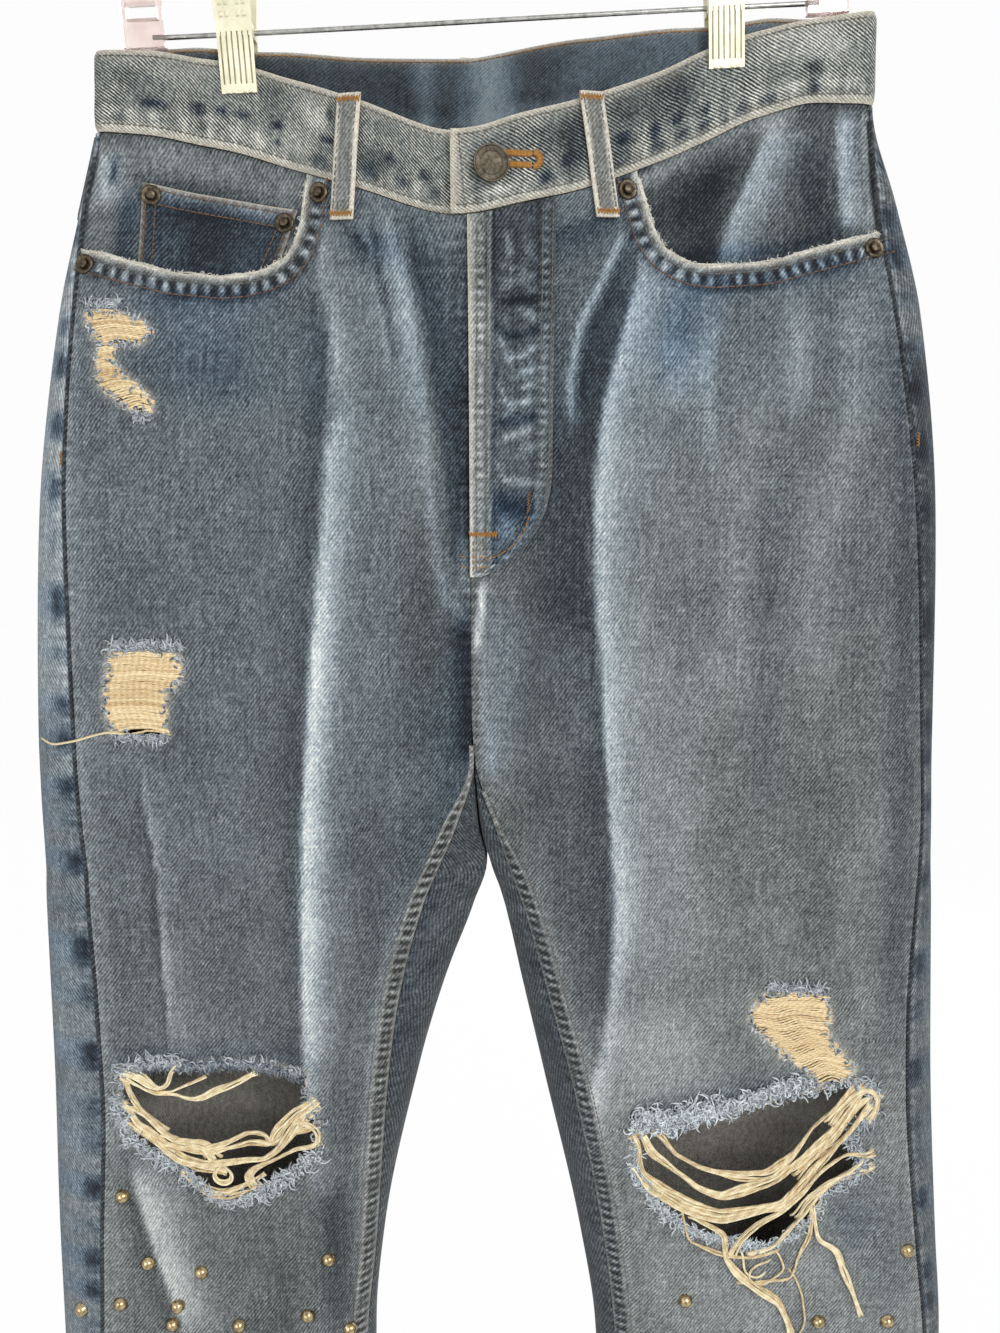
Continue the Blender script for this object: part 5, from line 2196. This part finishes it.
def makeJaw():
    # the front jaw of a clip, level, with the bar's axis at z = 0: a plate bent to its profile
    alone()
    high, low = clip["open"], -clip["reach"]
    bpy.ops.mesh.primitive_plane_add(size=1, rotation=(math.pi / 2, 0, 0))
    thing = bpy.context.active_object
    thing.scale = (clip["width"] * mm, (high - low) * mm, 1)
    thing.location = (0, 0, (high + low) / 2 * mm)
    applyMoves()
    editing(thing)
    for z in clip["levels"]:
        cutAt(z=z)
    for x in clip["lines"]:
        cutAt(x=x)
    mesh = bmesh.from_edit_mesh(thing.data)
    for vert in mesh.verts:
        x, z = vert.co.x / mm, vert.co.z / mm
        out = readCurve(*clip["profile"], z)
        vert.co.y = -(out - 0.10 * (x / 8.5) ** 2) * mm
        vert.co.x *= 1 + 0.10 * ease((z - 2) / 20)
    bmesh.update_edit_mesh(thing.data)
    bpy.ops.object.mode_set(mode="OBJECT")
    wall = thing.modifiers.new("wall", "SOLIDIFY")
    wall.thickness = clip["sheet"] * mm
    wall.offset = -1 if thing.data.polygons[0].normal.y < 0 else 1
    bpy.ops.object.modifier_apply(modifier="wall")
    editing(thing)
    # pressed grooves, a toothed lip, and raised grip bars near the finger end: each with its heights, its
    # distances from the middle, its border and how deep it is
    presses = (
        (((-24, -1),), ((1.0, 1.8), (3.5, 4.3), (6.3, 7.1)), 0.08, -0.55),
        (((-99, -26.5),), ((0, 1.0), (1.8, 3.5), (4.3, 6.3)), 0.2, 0.4),
        (((5, 7.5), (10, 15)), ((1.8, 3.5), (4.3, 6.3)), 0.25, 0.45),
    )
    for heights, widths, border, deep in presses:
        pick(thing, lambda middle, normal: normal.y < -0.8 and any(a < middle.z < b for a, b in heights) and
             any(a < abs(middle.x) < b for a, b in widths))
        inset(border, deep)
        if deep < 0:
            for face in bmesh.from_edit_mesh(thing.data).faces:
                face.material_index = 1 if face.select else 0
    # ears bent back to the bar
    pick(thing, lambda middle, normal: abs(normal.x) > 0.9 and -3 < middle.z < 2.6)
    extrude(z=0)
    bpy.ops.transform.resize(value=(0.93, 1, 1))
    pick(thing, lambda middle, normal: normal.y > 0.8 and -3 < middle.z < 2.6 and abs(middle.x) > 6.4)
    extrude(y=4.6)
    bpy.ops.mesh.select_all(action="SELECT")
    bpy.ops.mesh.remove_doubles(threshold=0.00002)
    bpy.ops.mesh.normals_make_consistent(inside=False)
    bpy.ops.object.mode_set(mode="OBJECT")
    finish(thing, nickel, 0.14, 1, 50, nickelShade)
    return thing


def makeClips():
    source = makeJaw()
    for name, x in clip["middles"].items():
        for jaw, turn in (("front", 0.0), ("rear", math.pi)):
            piece = copyOf(source, f"{name}_{jaw}_jaw")
            piece.matrix_world = Matrix.Translation((x * mm, 0, -hanger["barDrop"] * mm)) @ Matrix.Rotation(turn, 4,
                                                                                                            "Z")
            bpy.context.view_layer.update()
            tilted(piece, f"{name}_{jaw}", "clip_steel")
    bpy.data.objects.remove(source)


print("trims and hanger")
makeTrims()
sewButtonhole()
makeWires()
makeArms()
makeClips()


# Room, lamps and camera

room = {"size": 9, "place": (0, 1.5, -1.32), "floor": (246, 246, 246), "wall": (253, 253, 253), "glow": 0.975}
lampLook = {
    "world": 0.40,
    "key": {"place": (0.95, -1.7, 0.35), "aim": (0.0, 0.0, -0.55), "size": 1.1, "power": 27},
    "fill": {"place": (-1.5, -1.9, -0.3), "aim": (0.0, 0.0, -0.6), "size": 1.6, "power": 16},
    "rear": {"place": (0.6, 1.9, -0.2), "aim": (0.0, 0.0, -0.6), "size": 1.6, "power": 16},
}
# focal length in heights of the frame, place in metres, and degrees up from straight down
cameraLook = {"sensor": 36.0, "focal": 1200 / 1333, "place": (0.008, -0.618, -0.3693), "up": 80}


def makeStage():
    bpy.ops.object.select_all(action="DESELECT")
    bpy.ops.mesh.primitive_plane_add(size=room["size"], location=room["place"])
    floor = bpy.context.active_object
    floor.name = "floor"
    applyMoves()
    material, tree, shader = newMaterial("paleFloor", 0.8)
    shader.inputs["Base Color"].default_value = linear(room["floor"])
    glow = tree.nodes.new("ShaderNodeEmission")
    glow.inputs["Color"].default_value = (1, 1, 1, 1)
    glow.inputs["Strength"].default_value = 1.0
    seen = tree.nodes.new("ShaderNodeLightPath")
    share = times(tree, seen.outputs["Is Camera Ray"], room["glow"])
    mix = tree.nodes.new("ShaderNodeMixShader")
    tree.links.new(share, mix.inputs[0])
    tree.links.new(shader.outputs[0], mix.inputs[1])
    tree.links.new(glow.outputs[0], mix.inputs[2])
    tree.links.new(mix.outputs[0], tree.nodes["Material Output"].inputs["Surface"])
    floor.data.materials.append(material)
    world = bpy.data.worlds.new("studio")
    bpy.context.scene.world = world
    world.use_nodes = True
    tree = world.node_tree
    sky = tree.nodes["Background"]
    seen = tree.nodes.new("ShaderNodeLightPath")
    direct = calc(tree, "MAXIMUM", seen.outputs["Is Camera Ray"], seen.outputs["Is Transmission Ray"])
    direct = calc(tree, "MAXIMUM", direct, times(tree, seen.outputs["Is Glossy Ray"], 0.8))
    strength = plus(tree, times(tree, direct, 1.0 - lampLook["world"]), lampLook["world"])
    sky.inputs["Color"].default_value = linear(room["wall"])
    tree.links.new(strength, sky.inputs["Strength"])


def makeLamps():
    for name in ("key", "fill", "rear"):
        look = lampLook[name]
        lamp = bpy.data.lights.new(name, "AREA")
        lamp.shape = "SQUARE"
        lamp.size = look["size"]
        lamp.energy = look["power"]
        thing = bpy.data.objects.new(name, lamp)
        thing.location = look["place"]
        aim = Vector(look["aim"]) - Vector(look["place"])
        thing.rotation_euler = aim.to_track_quat("-Z", "Y").to_euler()
        bpy.context.scene.collection.objects.link(thing)


def makeCamera():
    lens = bpy.data.cameras.new("camera")
    lens.sensor_fit = "VERTICAL"
    lens.sensor_height = cameraLook["sensor"]
    lens.lens = cameraLook["sensor"] * cameraLook["focal"]
    thing = bpy.data.objects.new("camera", lens)
    thing.location = cameraLook["place"]
    thing.rotation_euler = (math.radians(cameraLook["up"]), 0.0, 0.0)
    bpy.context.scene.collection.objects.link(thing)
    bpy.context.scene.camera = thing


print("room, lamps and camera")
makeStage()
makeLamps()
makeCamera()
bpy.context.scene.view_settings.view_transform = "Standard"

# Each cut of cloth before it was sewn and hung: flat width and length in metres, flat area, how it is held,
# what it hangs from or lies on, and what goes with it

clothCuts = {
    "waistband_cloth": ((0.86, 0.038), None, "hung", ("clip_right_front_jaw", "clip_left_front_jaw"),
                        ("buttonhole_thread",)),
    "front_right_cloth": ((0.22, 1.0), 0.155, "hung", ("waistband_cloth",),
                          ("frays_right", "patch_yarns_right", "mouth_edge_right", "threads_right_1_yarns",
                           "threads_right_2_yarns",
                           "inseam_right_fell", "side_seam_right_fell")),
    "front_left_cloth": ((0.235, 1.0), 0.178, "hung", ("waistband_cloth",),
                         ("frays_left", "patch_yarns_left", "mouth_edge_left", "threads_left_1_yarns",
                          "threads_left_2_yarns",
                          "inseam_left_fell", "side_seam_left_fell", "stitches_tonal", "stitches_tobacco",
                          "stitches_brown")),
    "back_right_cloth": ((0.31, 1.02), 0.266, "hung", ("yoke_right_cloth",), ()),
    "back_left_cloth": ((0.31, 1.02), 0.272, "hung", ("yoke_left_cloth",), ()),
    "yoke_right_cloth": ((0.20, 0.08), 0.0132, "hung", ("waistband_cloth",), ()),
    "yoke_left_cloth": ((0.215, 0.09), 0.0153, "hung", ("waistband_cloth",), ()),
    "hem_right_cloth": ((0.43, 0.015), None, "folded", ("front_right_cloth", "back_right_cloth"), ()),
    "hem_left_cloth": ((0.46, 0.015), None, "folded", ("front_left_cloth", "back_left_cloth"), ()),
    "facing_right_cloth": ((0.13, 0.08), 0.0094, "hung", ("waistband_cloth",), ()),
    "facing_left_cloth": ((0.132, 0.085), 0.0104, "hung", ("waistband_cloth",), ()),
    "coin_pocket_cloth": ((0.076, 0.05), 0.0035, "laid", ("facing_right_cloth",), ()),
    "fly_cloth": ((0.042, 0.18), 0.007, "laid", ("front_left_cloth",), ()),
    "back_pocket_right_cloth": ((0.148, 0.154), 0.0203, "laid", ("back_right_cloth",), ()),
    "back_pocket_left_cloth": ((0.148, 0.154), 0.0203, "laid", ("back_left_cloth",), ()),
}
for name in beltLoops["places"]:
    clothCuts[name + "_cloth"] = ((0.011, 0.066), None, "laid", ("waistband_cloth",), ())
for name, (flat, area, held, under, along) in clothCuts.items():
    list(under)
    [bpy.data.objects[each] for each in along]
